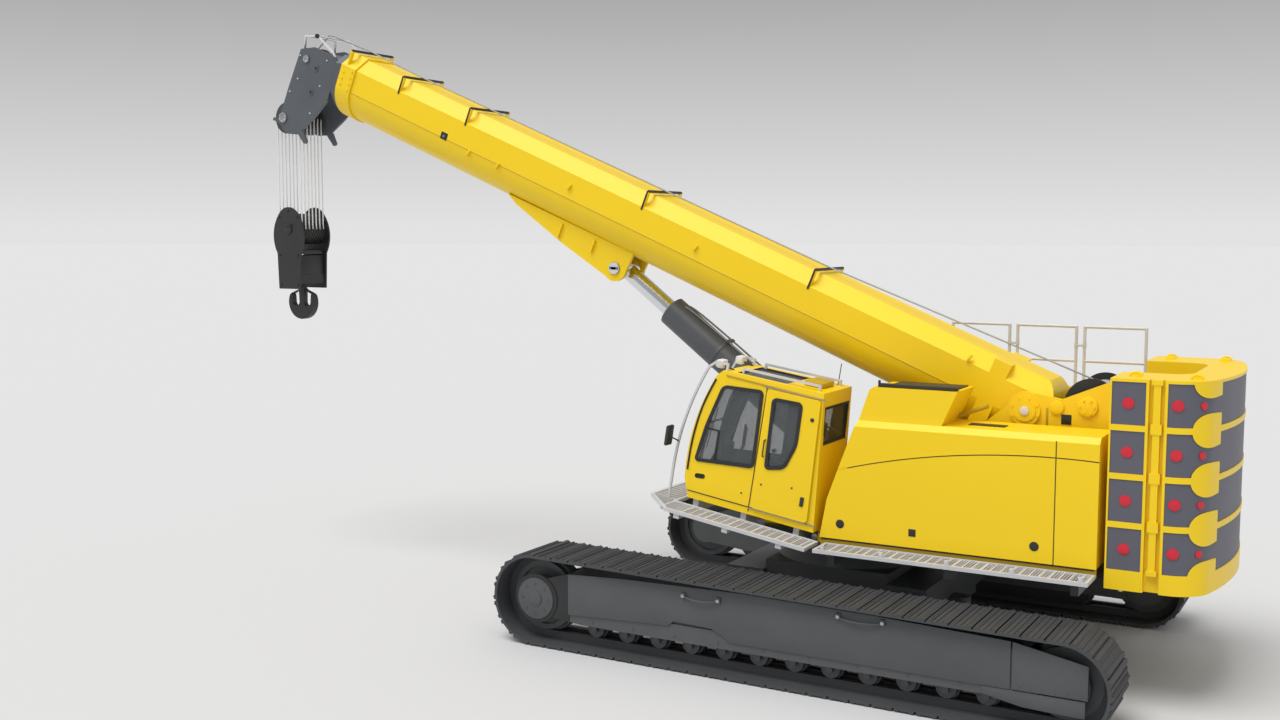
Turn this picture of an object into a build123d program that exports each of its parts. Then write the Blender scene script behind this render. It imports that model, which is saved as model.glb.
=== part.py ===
"""Crawler crane with a telescopic boom, as separate pieces. Sizes in millimetres.

+X points to the boom's head, +Y to the crane's left, +Z up. The origin is on the
ground under the slewing axis.
"""

import os
from math import atan2, cos, degrees, hypot, pi, radians, sin

from build123d import *

os.makedirs("parts", exist_ok=True)

# General
seat = 0.3  # gap between a piece and what carries it
slide_gap = 10.0  # clearance beside a slider, outside its pads

# Crawlers
track_length = 7940.0
track_gauge = 4800.0  # centre of one track to centre of the other, extended
shoe_width = 900.0
shoe_thickness = 60.0
shoe_pitch = 262.0
shoe_slot = 26.0  # width of the slot between two shoes
shoe_rib = 22.0  # height of a shoe's two low ribs
rail_thickness = 95.0  # chain rail, inside the shoes
rail_width = 62.0
rail_spread = 230.0  # centre of one chain rail to centre of the other
idler_radius = 615.0  # to the outside of the shoes
sprocket_radius = 555.0  # to the outside of the shoes
side_frame_width = 640.0
side_frame_bottom = 345.0
side_frame_top = 985.0
roller_radius = 118.0
roller_flange = 26.0
roller_count = 12
roller_front_gap = 800.0  # from the idler's axle back to the first roller's
roller_rear_gap = 855.0
axle_radius = 45.0
panel_depth = 25.0
roller_space = 400.0  # height of the rollers' room above the frame's lower edge
gauge_travel = 800.0  # each crawler moves in by this much

# Carbody
carbody_length = 1700.0
carbody_width = 2000.0
carbody_bottom = 420.0
carbody_top = 1080.0
sleeve_centre = 1110.0  # along the crane, from the slewing axis
beam_size = 420.0
sleeve_wall = 45.0
sleeve_length = 2200.0
beam_inner_end = 20.0  # of the beam, left of the middle when pulled in
liner_length = 135.0
beam_centre_height = 700.0
ring_outer = 960.0
ring_inner = 700.0
ring_top = 1300.0
turret_top = 1200.0
well_radius = 640.0  # well inside the ring, for the swivel joint and the cylinder
well_depth = 220.0
eye_reach = 130.0  # of a towing eye, from the sleeve to its centre
eye_height = 620.0
eye_thickness = 80.0
eye_radius_outer = 120.0
tow_eye_radius = 55.0

# Upper frame
deck_bottom = ring_top + seat
deck_top = 1480.0
deck_half_width = 745.0
deck_rear = -3500.0
deck_front = 1350.0
plate_inner = 560.0  # inner face of each upright plate, from the middle
plate_thickness = 60.0
side_deck_bottom = 1500.0
side_deck_top = 1600.0
side_deck_front = -150.0
pivot_boss = 230.0  # radius of the plates round the boom's pivot
foot_slot_rear = -520.0  # the slot for the cylinder's foot is open to the front
foot_slot_half = 234.0
walkway_arms = (-3350.0, -1900.0, -450.0)
walkway_outer = 2020.0
walkway_front = -230.0
walkway_thickness = 45.0
grating_border = 40.0
grating_pitch = 110.0
grating_bar = 22.0
winch_x = -3160.0
winch_z = 3330.0
winch_shaft = 70.0
winch_width = 860.0
winch_drum = 210.0
winch_flange = 320.0
winch_flange_thickness = 30.0
rail_radius = 21.0
rail_top = 4130.0
rail_middle = 3667.0
rail_frames = ((-1620.0, -820.0), (-2520.0, -1730.0), (-3420.0, -2630.0))  # start, end

# Boom: s runs along its axis from the pivot, n is square to it, upwards
boom_angle = 22.7
pivot_x = -2420.0
pivot_z = 3240.0
boom_half_width = 500.0
boom_top = 400.0
boom_top_half_flat = 300.0
boom_crease = 210.0
boom_lower_crease = -150.0
boom_belly = -590.0
boom_tail = -300.0
boom_front = 11950.0
boom_wall = 14.0
section_gap = 46.0  # between one section's inside and the next one's outside
stage_travel = 9130.0
collar_gap = 12.0
collar_length = 95.0
pad_length = 250.0
pivot_pin_radius = 110.0
rope_guides = (  # station, height of the bar above the boom's top
    (3250.0, 45.0),
    (6000.0, 45.0),
    (9330.0, 45.0),
    (10720.0, 45.0),
    (11850.0, 75.0),
)
guide_bar_radius = 20.0
guide_leg = 28.0

# Luffing cylinder
rod_pin_s = 6200.0
rod_pin_n = -820.0
rod_radius = 122.0
barrel_radius = 220.0
barrel_bore = 165.0
rod_shown = 1000.0  # from the pin to the barrel's mouth
foot_x = -150.0
foot_z = 2000.0
rod_pin_radius = 85.0
rod_eye_radius = 160.0
rod_eye_width = 360.0
ear_inner = 235.0  # of the boom's two ears, from the middle
ear_thickness = 55.0
gland_length = 120.0
barrel_end = 420.0  # from the bore's end to the foot's centre
piston_length = 260.0
rod_short = 1260.0  # the piston stops this far short of the foot's centre
foot_ear_inner = 225.0  # of the frame's two ears, from the middle
foot_ear_thickness = 75.0
foot_eye_radius = 185.0
foot_play = 6.0  # beside the foot, between its ears

# Head and hook block
head_sheave_s = 12980.0
head_sheave_n = -1050.0
cheek_nose = 80.0  # of the head's cheeks, ahead of the lower sheaves' axle
cheek_chin = 210.0  # and below it
cheek_top = 240.0
guard_rise = 185.0  # height of the rope guard above the cheeks
guard_rod = 24.0
sheave_radius = 235.0
rope_radius = 11.0
sheave_width = 58.0
sheave_count = 7
sheave_pitch = 84.0
cheek_inner = 330.0
cheek_thickness = 40.0
block_axis_z = 5440.0
block_cheek = 30.0
block_inner = 290.0
block_half = 330.0  # half the cheek's greatest width
block_crown = 365.0  # height of the cheek's rounded top above the axle
block_waist = 385.0  # the cheek's step, below the axle
block_drop = 1000.0  # from the axle to the block's lower edge
head_pin_radius = 45.0
top_sheave_s = 12830.0
top_sheave_n = 10.0
top_sheave_radius = 170.0
jib_bores = ((12583.0, -62.0), (12556.0, -456.0))  # s, n
jib_bore_radius = 30.0
hook_shank = 62.0
hook_thickness = 105.0
hook_drop = 230.0  # from the block's lower edge to the middle of the horns
hook_reach = 262.0  # half the width across the horns' tips
hook_depth = 290.0
bowl_reach = 125.0  # of each bowl's middle from the shank's
bowl_half = 80.0
bowl_depth = 75.0

# Cab, in its own tilted frame: a runs forward, h up, from the hinge
cab_tilt = 9.0
hinge_x = -60.0
hinge_z = 1590.0
cab_side = 1610.0
cab_width = 940.0
cab_wall = 40.0
cab_floor_h = 60.0
cab_nose = 1885.0  # the foremost part of the cab's curved front
cab_nose_low = 300.0  # lower end of the curved front
cab_height = 1820.0
cab_mid = (cab_height + cab_nose_low) / 2
rear_window_sill = 1150.0
screen_sill = 420.0
roof_window = (700.0, 1400.0)
rail_rod = 30.0
rail_clear = 215.0  # from the cab's nose to the front rail
rail_inset = 40.0  # of the rails from the cab's sides
glass = 8.0
door_thickness = 34.0
door_gap = 8.0  # between the cab's side and the sliding door
hinge_pin_radius = 35.0
glass_setback = 12.0
# outlines as a, h
window_top = cab_height - 180
door_top = cab_height - 95
side_window = (
    (cab_nose - 112, 573),
    (cab_nose - 201, cab_mid + 19),
    (cab_nose - 358, window_top - 16),
    (965, window_top + 35),
    (940, 675),
)
rear_side_window = ((800, 700), (800, window_top), (330, window_top), (330, 900))
doorway_outline = ((855, 190), (875, door_top - 25), (190, door_top - 25), (110, 190))
door_window = (
    (759, 709),
    (795, window_top - 17),
    (398, window_top),
    (387, cab_mid + 45),
    (497, 778),
)

# Hoods
hood_side = 1573.0
hood_inner = 800.0
hood_bottom = side_deck_top
hood_top = 3100.0
tower_top = 3520.0
tower_length = 1050.0
hood_rear = -3500.0
hood_wall = 14.0
hood_chamfer = 70.0
seam_width = 14.0
seam_depth = 6.0
crease_rear = 2835.0  # height of the curved crease at the hood's rear end
crease_middle = 2790.0
crease_front = 2470.0
rear_panel_x = -3020.0  # seam between the hood's doors and its rear panel
louvre_count = 10
louvre_pitch = 62.0
louvre_height = 28.0
louvre_length = 760.0

# Counterweight
cw_front = -3580.0
cw_side = 1535.0
cw_radius = 4800.0
cw_corner = 420.0
cw_base_bottom = 1393.0
cw_base_top = 1588.0
cw_slab_height = 550.0
cw_slab_count = 4
cw_border = 34.0  # plain edge above and below each slab's recessed panels
cw_recess = 10.0
cw_leaf = 190.0  # half the height of the leaf left plain at the rear corners
cw_leaf_x = 180.0 - cw_radius
cw_leaf_reach = 500.0
cw_rib = 76.0  # upright rib in the side groove
cw_knuckle = 116.0
cw_wing = 785.0
cw_rear_wall = 470.0
cw_groove_x = 720.0 - cw_radius
cw_groove_width = 170.0
cw_groove_depth = 70.0


def side_plane(x, z, angle=0.0, y=0.0):
    """Upright plane along the crane; its x runs forward and up by the angle."""
    turn = radians(angle)
    return Plane(
        origin=(x, y, z), x_dir=(cos(turn), 0, sin(turn)), z_dir=(0, -1, 0)
    )


def boom_point(s, n):
    turn = radians(boom_angle)
    return (
        pivot_x + s * cos(turn) - n * sin(turn),
        pivot_z + s * sin(turn) + n * cos(turn),
    )


def boom_side(y):
    return side_plane(pivot_x, pivot_z, boom_angle, y)


def boom_section(s):
    """Plane across the boom; its x is the crane's +Y and its y is n."""
    x, z = boom_point(s, 0)
    turn = radians(boom_angle)
    return Plane(origin=(x, 0, z), x_dir=(0, 1, 0), z_dir=(cos(turn), 0, sin(turn)))


def cab_plane(y):
    return side_plane(hinge_x, hinge_z, cab_tilt, y)


def save(part, label):
    part.label = label
    export_step(part, f"parts/{label}.step")


def boom_outline(inset):
    """Section of the boom, moved inwards by the inset, in its own plane."""
    with BuildSketch() as section:
        with BuildLine():
            Polyline(
                (boom_half_width, boom_lower_crease),
                (boom_half_width, boom_crease),
                (boom_top_half_flat, boom_top),
                (-boom_top_half_flat, boom_top),
                (-boom_half_width, boom_crease),
                (-boom_half_width, boom_lower_crease),
            )
            ThreePointArc(
                (-boom_half_width, boom_lower_crease),
                (0, boom_belly),
                (boom_half_width, boom_lower_crease),
            )
        make_face()
        if inset:
            offset(amount=-inset, kind=Kind.INTERSECTION)
    return section.sketch


def boom_tube(start, end, outer_inset, inner_inset):
    """A length of boom tube between two stations."""
    with BuildPart() as tube:
        with BuildSketch(boom_section(start)):
            add(boom_outline(outer_inset))
            add(boom_outline(inner_inset), mode=Mode.SUBTRACT)
        extrude(amount=end - start)
    return tube.part


def boom_core(start, end, inset):
    """Solid filling of the boom's section between two stations."""
    with BuildPart() as core:
        with BuildSketch(boom_section(start)):
            add(boom_outline(inset))
        extrude(amount=end - start)
    return core.part


# ---- Crawlers -------------------------------------------------------------
idler_x = track_length / 2 - idler_radius
sprocket_x = -track_length / 2 + sprocket_radius
chain_inside = shoe_thickness + rail_thickness


def belt_ends(inset):
    """Circles at the track's two ends and the turn at which its top run starts."""
    front = (idler_x, idler_radius, idler_radius - inset)
    rear = (sprocket_x, sprocket_radius, sprocket_radius - inset)
    lean = atan2(front[1] - rear[1], front[0] - rear[0])
    spread = hypot(front[0] - rear[0], front[1] - rear[1])
    up = lean + pi / 2 + atan2(rear[2] - front[2], spread)
    return front, rear, up


def on_circle(circle, turn):
    x, z, radius = circle
    return (x + radius * cos(turn), z + radius * sin(turn))


def belt(inset):
    """Filled outline of the track's path, moved inwards by the inset."""
    front, rear, up = belt_ends(inset)
    with BuildSketch() as outline:
        with BuildLine():
            Line(on_circle(rear, -pi / 2), on_circle(front, -pi / 2))
            ThreePointArc(
                on_circle(front, -pi / 2), on_circle(front, 0), on_circle(front, up)
            )
            Line(on_circle(front, up), on_circle(rear, up))
            ThreePointArc(
                on_circle(rear, up), on_circle(rear, pi), on_circle(rear, -pi / 2)
            )
        make_face()
    return outline.sketch


def along_belt(share, inset):
    """Point and outward turn at a share of the way round the track."""
    front, rear, up = belt_ends(inset)
    bottom = front[0] - rear[0]
    top = hypot(
        on_circle(front, up)[0] - on_circle(rear, up)[0],
        on_circle(front, up)[1] - on_circle(rear, up)[1],
    )
    runs = (bottom, front[2] * (up + pi / 2), top, rear[2] * (1.5 * pi - up))
    left = share % 1 * sum(runs)
    if left < runs[0]:
        return (rear[0] + left, rear[1] - rear[2]), -pi / 2
    left -= runs[0]
    if left < runs[1]:
        turn = -pi / 2 + left / front[2]
        return on_circle(front, turn), turn
    left -= runs[1]
    if left < runs[2]:
        start, end = on_circle(front, up), on_circle(rear, up)
        share_top = left / runs[2]
        return (
            start[0] + share_top * (end[0] - start[0]),
            start[1] + share_top * (end[1] - start[1]),
        ), up
    turn = up + (left - runs[2]) / rear[2]
    return on_circle(rear, turn), turn


def shoe_points():
    """Outline of all shoes: a slot between neighbours and two low ribs on each."""
    front, rear, up = belt_ends(shoe_rib)
    around = 2 * (front[0] - rear[0]) + pi * (front[2] + rear[2])
    count = round(around / shoe_pitch)
    half = around / count / 2
    profile = (  # along the shoe, height above its plate
        (-half + shoe_slot / 2, -shoe_rib),
        (-half + shoe_slot / 2, 0),
        (-half * 0.62, shoe_rib),
        (-half * 0.46, 0),
        (half * 0.46, 0),
        (half * 0.62, shoe_rib),
        (half - shoe_slot / 2, 0),
        (half - shoe_slot / 2, -shoe_rib),
    )
    points = []
    for i in range(count):
        (x, z), turn = along_belt((i + 0.5) / count, shoe_rib)
        for along, height in profile:
            points.append(
                (
                    x + height * cos(turn) - along * sin(turn),
                    z + height * sin(turn) + along * cos(turn),
                )
            )
    return points


def crawler(side, name):
    """All pieces of one crawler; side is +1 on the left and -1 on the right."""
    middle = side * track_gauge / 2

    with BuildPart() as track:
        with BuildSketch(side_plane(0, 0, 0, middle)):
            with BuildLine():
                Polyline(*shoe_points(), close=True)
            make_face()
        extrude(amount=shoe_width / 2, both=True)
        with BuildSketch(side_plane(0, 0, 0, middle)):
            add(belt(shoe_thickness))
        extrude(amount=shoe_width / 2, both=True, mode=Mode.SUBTRACT)
        for rail in (-rail_spread / 2, rail_spread / 2):
            with BuildSketch(side_plane(0, 0, 0, middle + rail)):
                add(belt(shoe_thickness))
                add(belt(chain_inside), mode=Mode.SUBTRACT)
            extrude(amount=rail_width / 2, both=True)
    save(track.part, f"{name}_track")

    with BuildPart() as idler:
        with BuildSketch(side_plane(idler_x, idler_radius, 0, middle)):
            Circle(idler_radius - chain_inside - seat)
        extrude(amount=(rail_spread + rail_width) / 2, both=True)
        with BuildSketch(side_plane(idler_x, idler_radius, 0, middle)):
            Circle(idler_radius - chain_inside + 40)
        extrude(amount=(rail_spread - rail_width) / 2 - 12, both=True)
        with BuildSketch(side_plane(idler_x, idler_radius, 0, middle)):
            Circle(230)
        extrude(amount=side_frame_width / 2 - 40, both=True)
        for face in (-1, 1):
            with BuildSketch(
                side_plane(
                    idler_x,
                    idler_radius,
                    0,
                    middle + face * (rail_spread + rail_width) / 2,
                )
            ):
                Circle(idler_radius - chain_inside - 70)
                Circle(260, mode=Mode.SUBTRACT)
            extrude(amount=face * 45, mode=Mode.SUBTRACT)
    save(idler.part, f"{name}_idler")

    with BuildPart() as sprocket:
        with BuildSketch(side_plane(sprocket_x, sprocket_radius, 0, middle)):
            Circle(sprocket_radius - chain_inside - seat)
        extrude(amount=(rail_spread + rail_width) / 2, both=True)
        with BuildSketch(side_plane(sprocket_x, sprocket_radius, 0, middle)):
            Circle(sprocket_radius - chain_inside + 20)
            with PolarLocations(sprocket_radius - chain_inside + 30, 13):
                Rectangle(55, 80)
        extrude(amount=(rail_spread - rail_width) / 2 - 12, both=True)
        with BuildSketch(side_plane(sprocket_x, sprocket_radius, 0, middle)):
            Circle(285)
        extrude(amount=side_frame_width / 2 - 60, both=True)
    save(sprocket.part, f"{name}_sprocket")

    half_frame = side_frame_width / 2
    fork_half = 205.0
    nose_x = idler_x + 120
    tail_x = sprocket_x - 140
    with BuildPart() as frame:
        with BuildSketch(side_plane(0, 0, 0, middle)):
            with BuildLine():
                Polyline(
                    (tail_x, 330),
                    (tail_x + 620, side_frame_bottom),
                    (idler_x - 700, side_frame_bottom),
                    (nose_x, 430),
                    (nose_x, 800),
                    (idler_x - 500, side_frame_top),
                    (sprocket_x + 900, side_frame_top - 60),
                    (tail_x, 830),
                    close=True,
                )
            make_face()
        extrude(amount=half_frame, both=True)
        # forks that take the idler and the sprocket between their cheeks
        for wheel_x, wheel_r, reach in (
            (idler_x, idler_radius - shoe_thickness + 15, 1),
            (sprocket_x, sprocket_radius - shoe_thickness + 15, -1),
        ):
            with BuildSketch(side_plane(wheel_x, wheel_r + shoe_thickness - 15, 0, middle)):
                Circle(wheel_r)
                with Locations((reach * wheel_r, 0)):
                    Rectangle(2 * wheel_r, 2 * wheel_r)
            extrude(amount=fork_half, both=True, mode=Mode.SUBTRACT)
        # running space of the rollers, between the frame's two skirts
        with BuildSketch(Plane.XY.offset(side_frame_bottom - 60)):
            with Locations((0, middle)):
                Rectangle(idler_x - sprocket_x - 1000, 2 * fork_half)
        extrude(amount=roller_space, mode=Mode.SUBTRACT)
        # bores for the hubs
        for wheel_x, wheel_z, hub in (
            (idler_x, idler_radius, 230),
            (sprocket_x, sprocket_radius, 285),
        ):
            with BuildSketch(side_plane(wheel_x, wheel_z, 0, middle)):
                Circle(hub + seat)
            extrude(amount=half_frame, both=True, mode=Mode.SUBTRACT)
        # recessed panel along the outer side
        with BuildSketch(side_plane(0, 0, 0, middle + side * half_frame)) as panel:
            with BuildLine():
                Polyline(
                    (sprocket_x + 950, 560),
                    (idler_x - 620, 560),
                    (idler_x - 620, 900),
                    (sprocket_x + 950, 860),
                    close=True,
                )
            make_face()
            fillet(panel.vertices(), 40)
        extrude(amount=side * panel_depth, mode=Mode.SUBTRACT)
        # telescopic beams that carry the crawler
        beam_root = middle - side * (half_frame - 60)
        for x in (-sleeve_centre, sleeve_centre):
            with BuildSketch(side_plane(x, beam_centre_height, 0, beam_root)):
                Rectangle(beam_size, beam_size)
            extrude(
                amount=side * (abs(beam_root) - beam_inner_end - gauge_travel)
            )
            pad_y = side * (beam_inner_end + gauge_travel)
            with BuildSketch(side_plane(x, beam_centre_height, 0, pad_y)):
                Rectangle(
                    beam_size + 2 * (slide_gap - seat), beam_size + 2 * (slide_gap - seat)
                )
            extrude(amount=-side * liner_length)
    save(frame.part, f"{name}_side_frame")

    with BuildPart() as rollers:
        roller_first = sprocket_x + roller_rear_gap
        roller_pitch = (idler_x - roller_front_gap - roller_first) / (roller_count - 1)
        for i in range(roller_count):
            x = roller_first + i * roller_pitch
            z = chain_inside + seat + roller_radius
            with BuildSketch(side_plane(x, z, 0, middle)):
                Circle(roller_radius)
            extrude(amount=(rail_spread + rail_width) / 2, both=True)
            with BuildSketch(side_plane(x, z, 0, middle)):
                Circle(roller_radius + roller_flange)
            extrude(amount=(rail_spread - rail_width) / 2 - 12, both=True)
            with BuildSketch(side_plane(x, z, 0, middle)):
                Circle(axle_radius)
            extrude(amount=fork_half - seat, both=True)
    save(rollers.part, f"{name}_rollers")


crawler(1, "left")
crawler(-1, "right")

# ---- Carbody and slew ring ------------------------------------------------
with BuildPart() as carbody:
    with BuildSketch(Plane.XY.offset(carbody_bottom)):
        Rectangle(carbody_length, carbody_width)
    extrude(amount=carbody_top - carbody_bottom)
    with BuildSketch(Plane.XY.offset(carbody_top)):
        Circle(ring_outer + 60)
    with BuildSketch(Plane.XY.offset(turret_top)):
        Circle(ring_outer)
    loft()
    sleeve_size = beam_size + 2 * slide_gap + 2 * sleeve_wall
    for x in (-sleeve_centre, sleeve_centre):
        with BuildSketch(Plane.XZ.offset(-sleeve_length / 2)):
            with Locations((x, beam_centre_height)):
                Rectangle(sleeve_size, sleeve_size)
        extrude(amount=sleeve_length)
    for x in (-sleeve_centre, sleeve_centre):
        with BuildSketch(Plane.XZ.offset(-sleeve_length / 2)):
            with Locations((x, beam_centre_height)):
                Rectangle(beam_size + 2 * slide_gap, beam_size + 2 * slide_gap)
        extrude(amount=sleeve_length, mode=Mode.SUBTRACT)
        for end in (-1, 1):
            with BuildSketch(Plane.XZ.offset(end * (sleeve_length / 2 - liner_length))):
                with Locations((x, beam_centre_height)):
                    Rectangle(beam_size + 2 * slide_gap, beam_size + 2 * slide_gap)
                    Rectangle(
                        beam_size + 2 * seat, beam_size + 2 * seat, mode=Mode.SUBTRACT
                    )
            extrude(amount=end * liner_length)
    # well under the slewing ring's opening
    with BuildSketch(Plane.XY.offset(turret_top)):
        Circle(well_radius)
    extrude(amount=-well_depth, mode=Mode.SUBTRACT)
    # towing and lashing eyes at both ends, flat, with an upright bore
    for end in (-1, 1):
        eye_x = end * (sleeve_centre + sleeve_size / 2 + eye_reach)
        with BuildSketch(Plane.XY.offset(eye_height - eye_thickness / 2)):
            with Locations((eye_x - end * (eye_reach + 30) / 2, 0)):
                Rectangle(eye_reach + 30, 2 * eye_radius_outer)
            with Locations((eye_x, 0)):
                Circle(eye_radius_outer)
                Circle(tow_eye_radius, mode=Mode.SUBTRACT)
        extrude(amount=eye_thickness)
save(carbody.part, "carbody")

with BuildPart() as slew_ring:
    with BuildSketch(Plane.XY.offset(turret_top)):
        Circle(ring_outer)
        Circle(ring_inner, mode=Mode.SUBTRACT)
    extrude(amount=ring_top - turret_top)
    with BuildSketch(Plane.XY.offset(turret_top + 42)):
        Circle(ring_outer)
        Circle(ring_outer - 18, mode=Mode.SUBTRACT)
    extrude(amount=16, mode=Mode.SUBTRACT)
save(slew_ring.part, "slew_ring")

# ---- Upper frame ----------------------------------------------------------
with BuildPart() as upper_frame:
    with BuildSketch(Plane.XY.offset(deck_bottom)):
        with BuildLine():
            Polyline(
                (deck_rear, -deck_half_width),
                (deck_front - 350, -deck_half_width),
                (deck_front, -deck_half_width + 250),
                (deck_front, deck_half_width - 250),
                (deck_front - 350, deck_half_width),
                (deck_rear, deck_half_width),
                close=True,
            )
        make_face()
    extrude(amount=deck_top - deck_bottom)
    # slot over the slewing ring for the cylinder's foot, open to the front
    with BuildSketch(Plane.XY.offset(deck_bottom)):
        with Locations(((foot_slot_rear + deck_front + 10) / 2, 0)):
            Rectangle(deck_front + 10 - foot_slot_rear, 2 * foot_slot_half)
    extrude(amount=deck_top - deck_bottom, mode=Mode.SUBTRACT)
    # side decks that carry the hoods, and arms for the walkways
    for side in (-1, 1):
        with BuildSketch(Plane.XY.offset(side_deck_bottom)):
            with Locations(
                ((deck_rear + side_deck_front) / 2, side * (620 + hood_side - 25) / 2)
            ):
                Rectangle(side_deck_front - deck_rear, hood_side - 25 - 620)
        extrude(amount=side_deck_top - side_deck_bottom)
        with BuildSketch(Plane.XY.offset(deck_top - 110)):
            for x in walkway_arms:
                with Locations((x, side * (650 + walkway_outer - 60) / 2)):
                    Rectangle(90, walkway_outer - 60 - 650)
        extrude(amount=side_deck_bottom - deck_top + 110)
    # fork that carries the cab's hinge
    for y in (cab_side - 90, cab_side - cab_width + 150):
        with BuildSketch(side_plane(0, 0, 0, y)):
            with BuildLine():
                Polyline(
                    (hinge_x - 300, deck_top - 80),
                    (hinge_x + 90, deck_top - 80),
                    (hinge_x + 90, hinge_z - 40),
                    (hinge_x + 60, hinge_z),
                    (hinge_x - 60, hinge_z),
                    (hinge_x - 300, hinge_z - 80),
                    close=True,
                )
            make_face()
            with Locations((hinge_x, hinge_z)):
                Circle(60)
        extrude(amount=60)
    with BuildSketch(Plane.XY.offset(deck_top - 80)):
        with Locations((hinge_x - 200, (620 + cab_side - 90) / 2)):
            Rectangle(200, cab_side - 90 - 620)
    extrude(amount=100)
    with BuildSketch(side_plane(hinge_x, hinge_z, 0, cab_side)):
        Circle(hinge_pin_radius + seat)
    extrude(amount=cab_width, mode=Mode.SUBTRACT)
save(upper_frame.part, "upper_frame")

with BuildPart() as boom_plates:
    # upright plates that carry the boom's pivot
    for face in (plate_inner + plate_thickness, -plate_inner):
        with BuildSketch(side_plane(0, 0, 0, face)):
            with BuildLine():
                Polyline(
                    (deck_front - 300, deck_top),
                    (deck_front - 300, deck_top + 160),
                    (foot_x + 500, foot_z + 330),
                    (foot_x - 300, foot_z + 420),
                    (pivot_x + 620, pivot_z - 280),
                    (pivot_x + 210, pivot_z + 60),
                    (pivot_x - 120, pivot_z + 215),
                    (pivot_x - 430, pivot_z + 160),
                    (pivot_x - 960, pivot_z + 390),
                    (deck_rear + 30, pivot_z + 390),
                    (deck_rear + 30, deck_top),
                    close=True,
                )
            make_face()
            with Locations((pivot_x, pivot_z)):
                Circle(pivot_boss)
        extrude(amount=plate_thickness)
    # pin bosses outside the plates
    for face in (plate_inner + plate_thickness + 35, -plate_inner - plate_thickness):
        with BuildSketch(side_plane(pivot_x, pivot_z, 0, face)):
            Circle(185)
        extrude(amount=35)
    # cross walls between the plates, clear of the boom's swing
    with BuildSketch(Plane.XY.offset(deck_top)):
        with Locations((deck_rear + 60, 0)):
            Rectangle(60, 2 * plate_inner)
    extrude(amount=1300)
    # bore for the boom's pivot pin
    with BuildSketch(side_plane(pivot_x, pivot_z, 0, 1000)):
        Circle(pivot_pin_radius + seat)
    extrude(amount=2000, mode=Mode.SUBTRACT)
    # bores for the winch's shaft
    with BuildSketch(side_plane(winch_x, winch_z, 0, 1000)):
        Circle(winch_shaft + seat)
    extrude(amount=2000, mode=Mode.SUBTRACT)
save(boom_plates.part, "boom_plates")

# ears that take the cylinder's foot between them
with BuildPart() as foot_ears:
    for face in (foot_ear_inner + foot_ear_thickness, -foot_ear_inner):
        with BuildSketch(side_plane(0, 0, 0, face)):
            with BuildLine():
                Polyline(
                    (foot_x - 330, deck_top),
                    (foot_x - 230, foot_z),
                    (foot_x + 230, foot_z),
                    (foot_x + 480, deck_top),
                    close=True,
                )
            make_face()
            with Locations((foot_x, foot_z)):
                Circle(230)
        extrude(amount=foot_ear_thickness)
save(foot_ears.part, "cylinder_ears")

with BuildPart() as pivot_pin:
    with BuildSketch(side_plane(pivot_x, pivot_z, 0, plate_inner + plate_thickness + 50)):
        Circle(pivot_pin_radius)
    extrude(amount=2 * (plate_inner + plate_thickness + 50))
    for face in (plate_inner + plate_thickness + 50, -plate_inner - plate_thickness - 35.3):
        with BuildSketch(side_plane(pivot_x, pivot_z, 0, face)):
            Circle(pivot_pin_radius + 22)
        extrude(amount=14.7)
save(pivot_pin.part, "boom_pivot_pin")

with BuildPart() as winch:
    with BuildSketch(side_plane(winch_x, winch_z, 0, plate_inner + plate_thickness - 5)):
        Circle(winch_shaft)
    extrude(amount=2 * (plate_inner + plate_thickness - 5))
    with BuildSketch(side_plane(winch_x, winch_z, 0, winch_width / 2)):
        Circle(winch_drum)
    extrude(amount=winch_width)
    for face in (winch_width / 2, -winch_width / 2 + winch_flange_thickness):
        with BuildSketch(side_plane(winch_x, winch_z, 0, face)):
            Circle(winch_flange)
        extrude(amount=winch_flange_thickness)
save(winch.part, "hoist_winch")

# ---- Hoods ----------------------------------------------------------------
hood_profile = (  # x, z of the side, from the lower front corner round to the rear
    (side_deck_front + 10, hood_bottom),
    (side_deck_front - 80, 2090),
    (side_deck_front - 230, 2500),
    (side_deck_front - 380, 2900),
    (side_deck_front - 460, hood_top),
    (hood_rear, hood_top),
    (hood_rear, hood_bottom),
)
for side, name in ((1, "left_hood"), (-1, "right_hood")):
    outer_y = side * hood_side
    with BuildPart() as hood:
        with BuildSketch(side_plane(0, 0, 0, outer_y)):
            with BuildLine():
                Polyline(*hood_profile, close=True)
            make_face()
        extrude(amount=side * (hood_side - hood_inner))
        chamfer(
            hood.edges()
            .filter_by(Axis.X)
            .filter_by_position(Axis.Z, hood_top - 1, hood_top + 1)
            .sort_by(Axis.Y)[-1 if side > 0 else 0],
            hood_chamfer,
        )
        offset(
            amount=-hood_wall,
            openings=hood.faces().sort_by(Axis.Z)[0],
            kind=Kind.INTERSECTION,
        )
        # upright seam and curved crease line in the outer face
        with BuildSketch(side_plane(0, 0, 0, outer_y)):
            with Locations((rear_panel_x, (hood_bottom + hood_top) / 2)):
                Rectangle(seam_width, hood_top - hood_bottom)
            with BuildLine():
                front = side_deck_front - 200
                middle = side_deck_front - 1800
                low = seam_width
                ThreePointArc(
                    (hood_rear, crease_rear), (middle, crease_middle), (front, crease_front)
                )
                Line((front, crease_front), (front, crease_front - low))
                ThreePointArc(
                    (front, crease_front - low),
                    (middle, crease_middle - low),
                    (hood_rear, crease_rear - low),
                )
                Line((hood_rear, crease_rear - low), (hood_rear, crease_rear))
            make_face()
        extrude(amount=side * seam_depth, mode=Mode.SUBTRACT)
        if name == "right_hood":
            # louvres for the engine's air
            with BuildSketch(side_plane(0, 0, 0, outer_y)):
                for i in range(louvre_count):
                    with Locations((-1900, 2050 + i * louvre_pitch)):
                        SlotOverall(louvre_length, louvre_height)
            extrude(amount=side * hood_wall, mode=Mode.SUBTRACT)
    save(hood.part, name)

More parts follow.
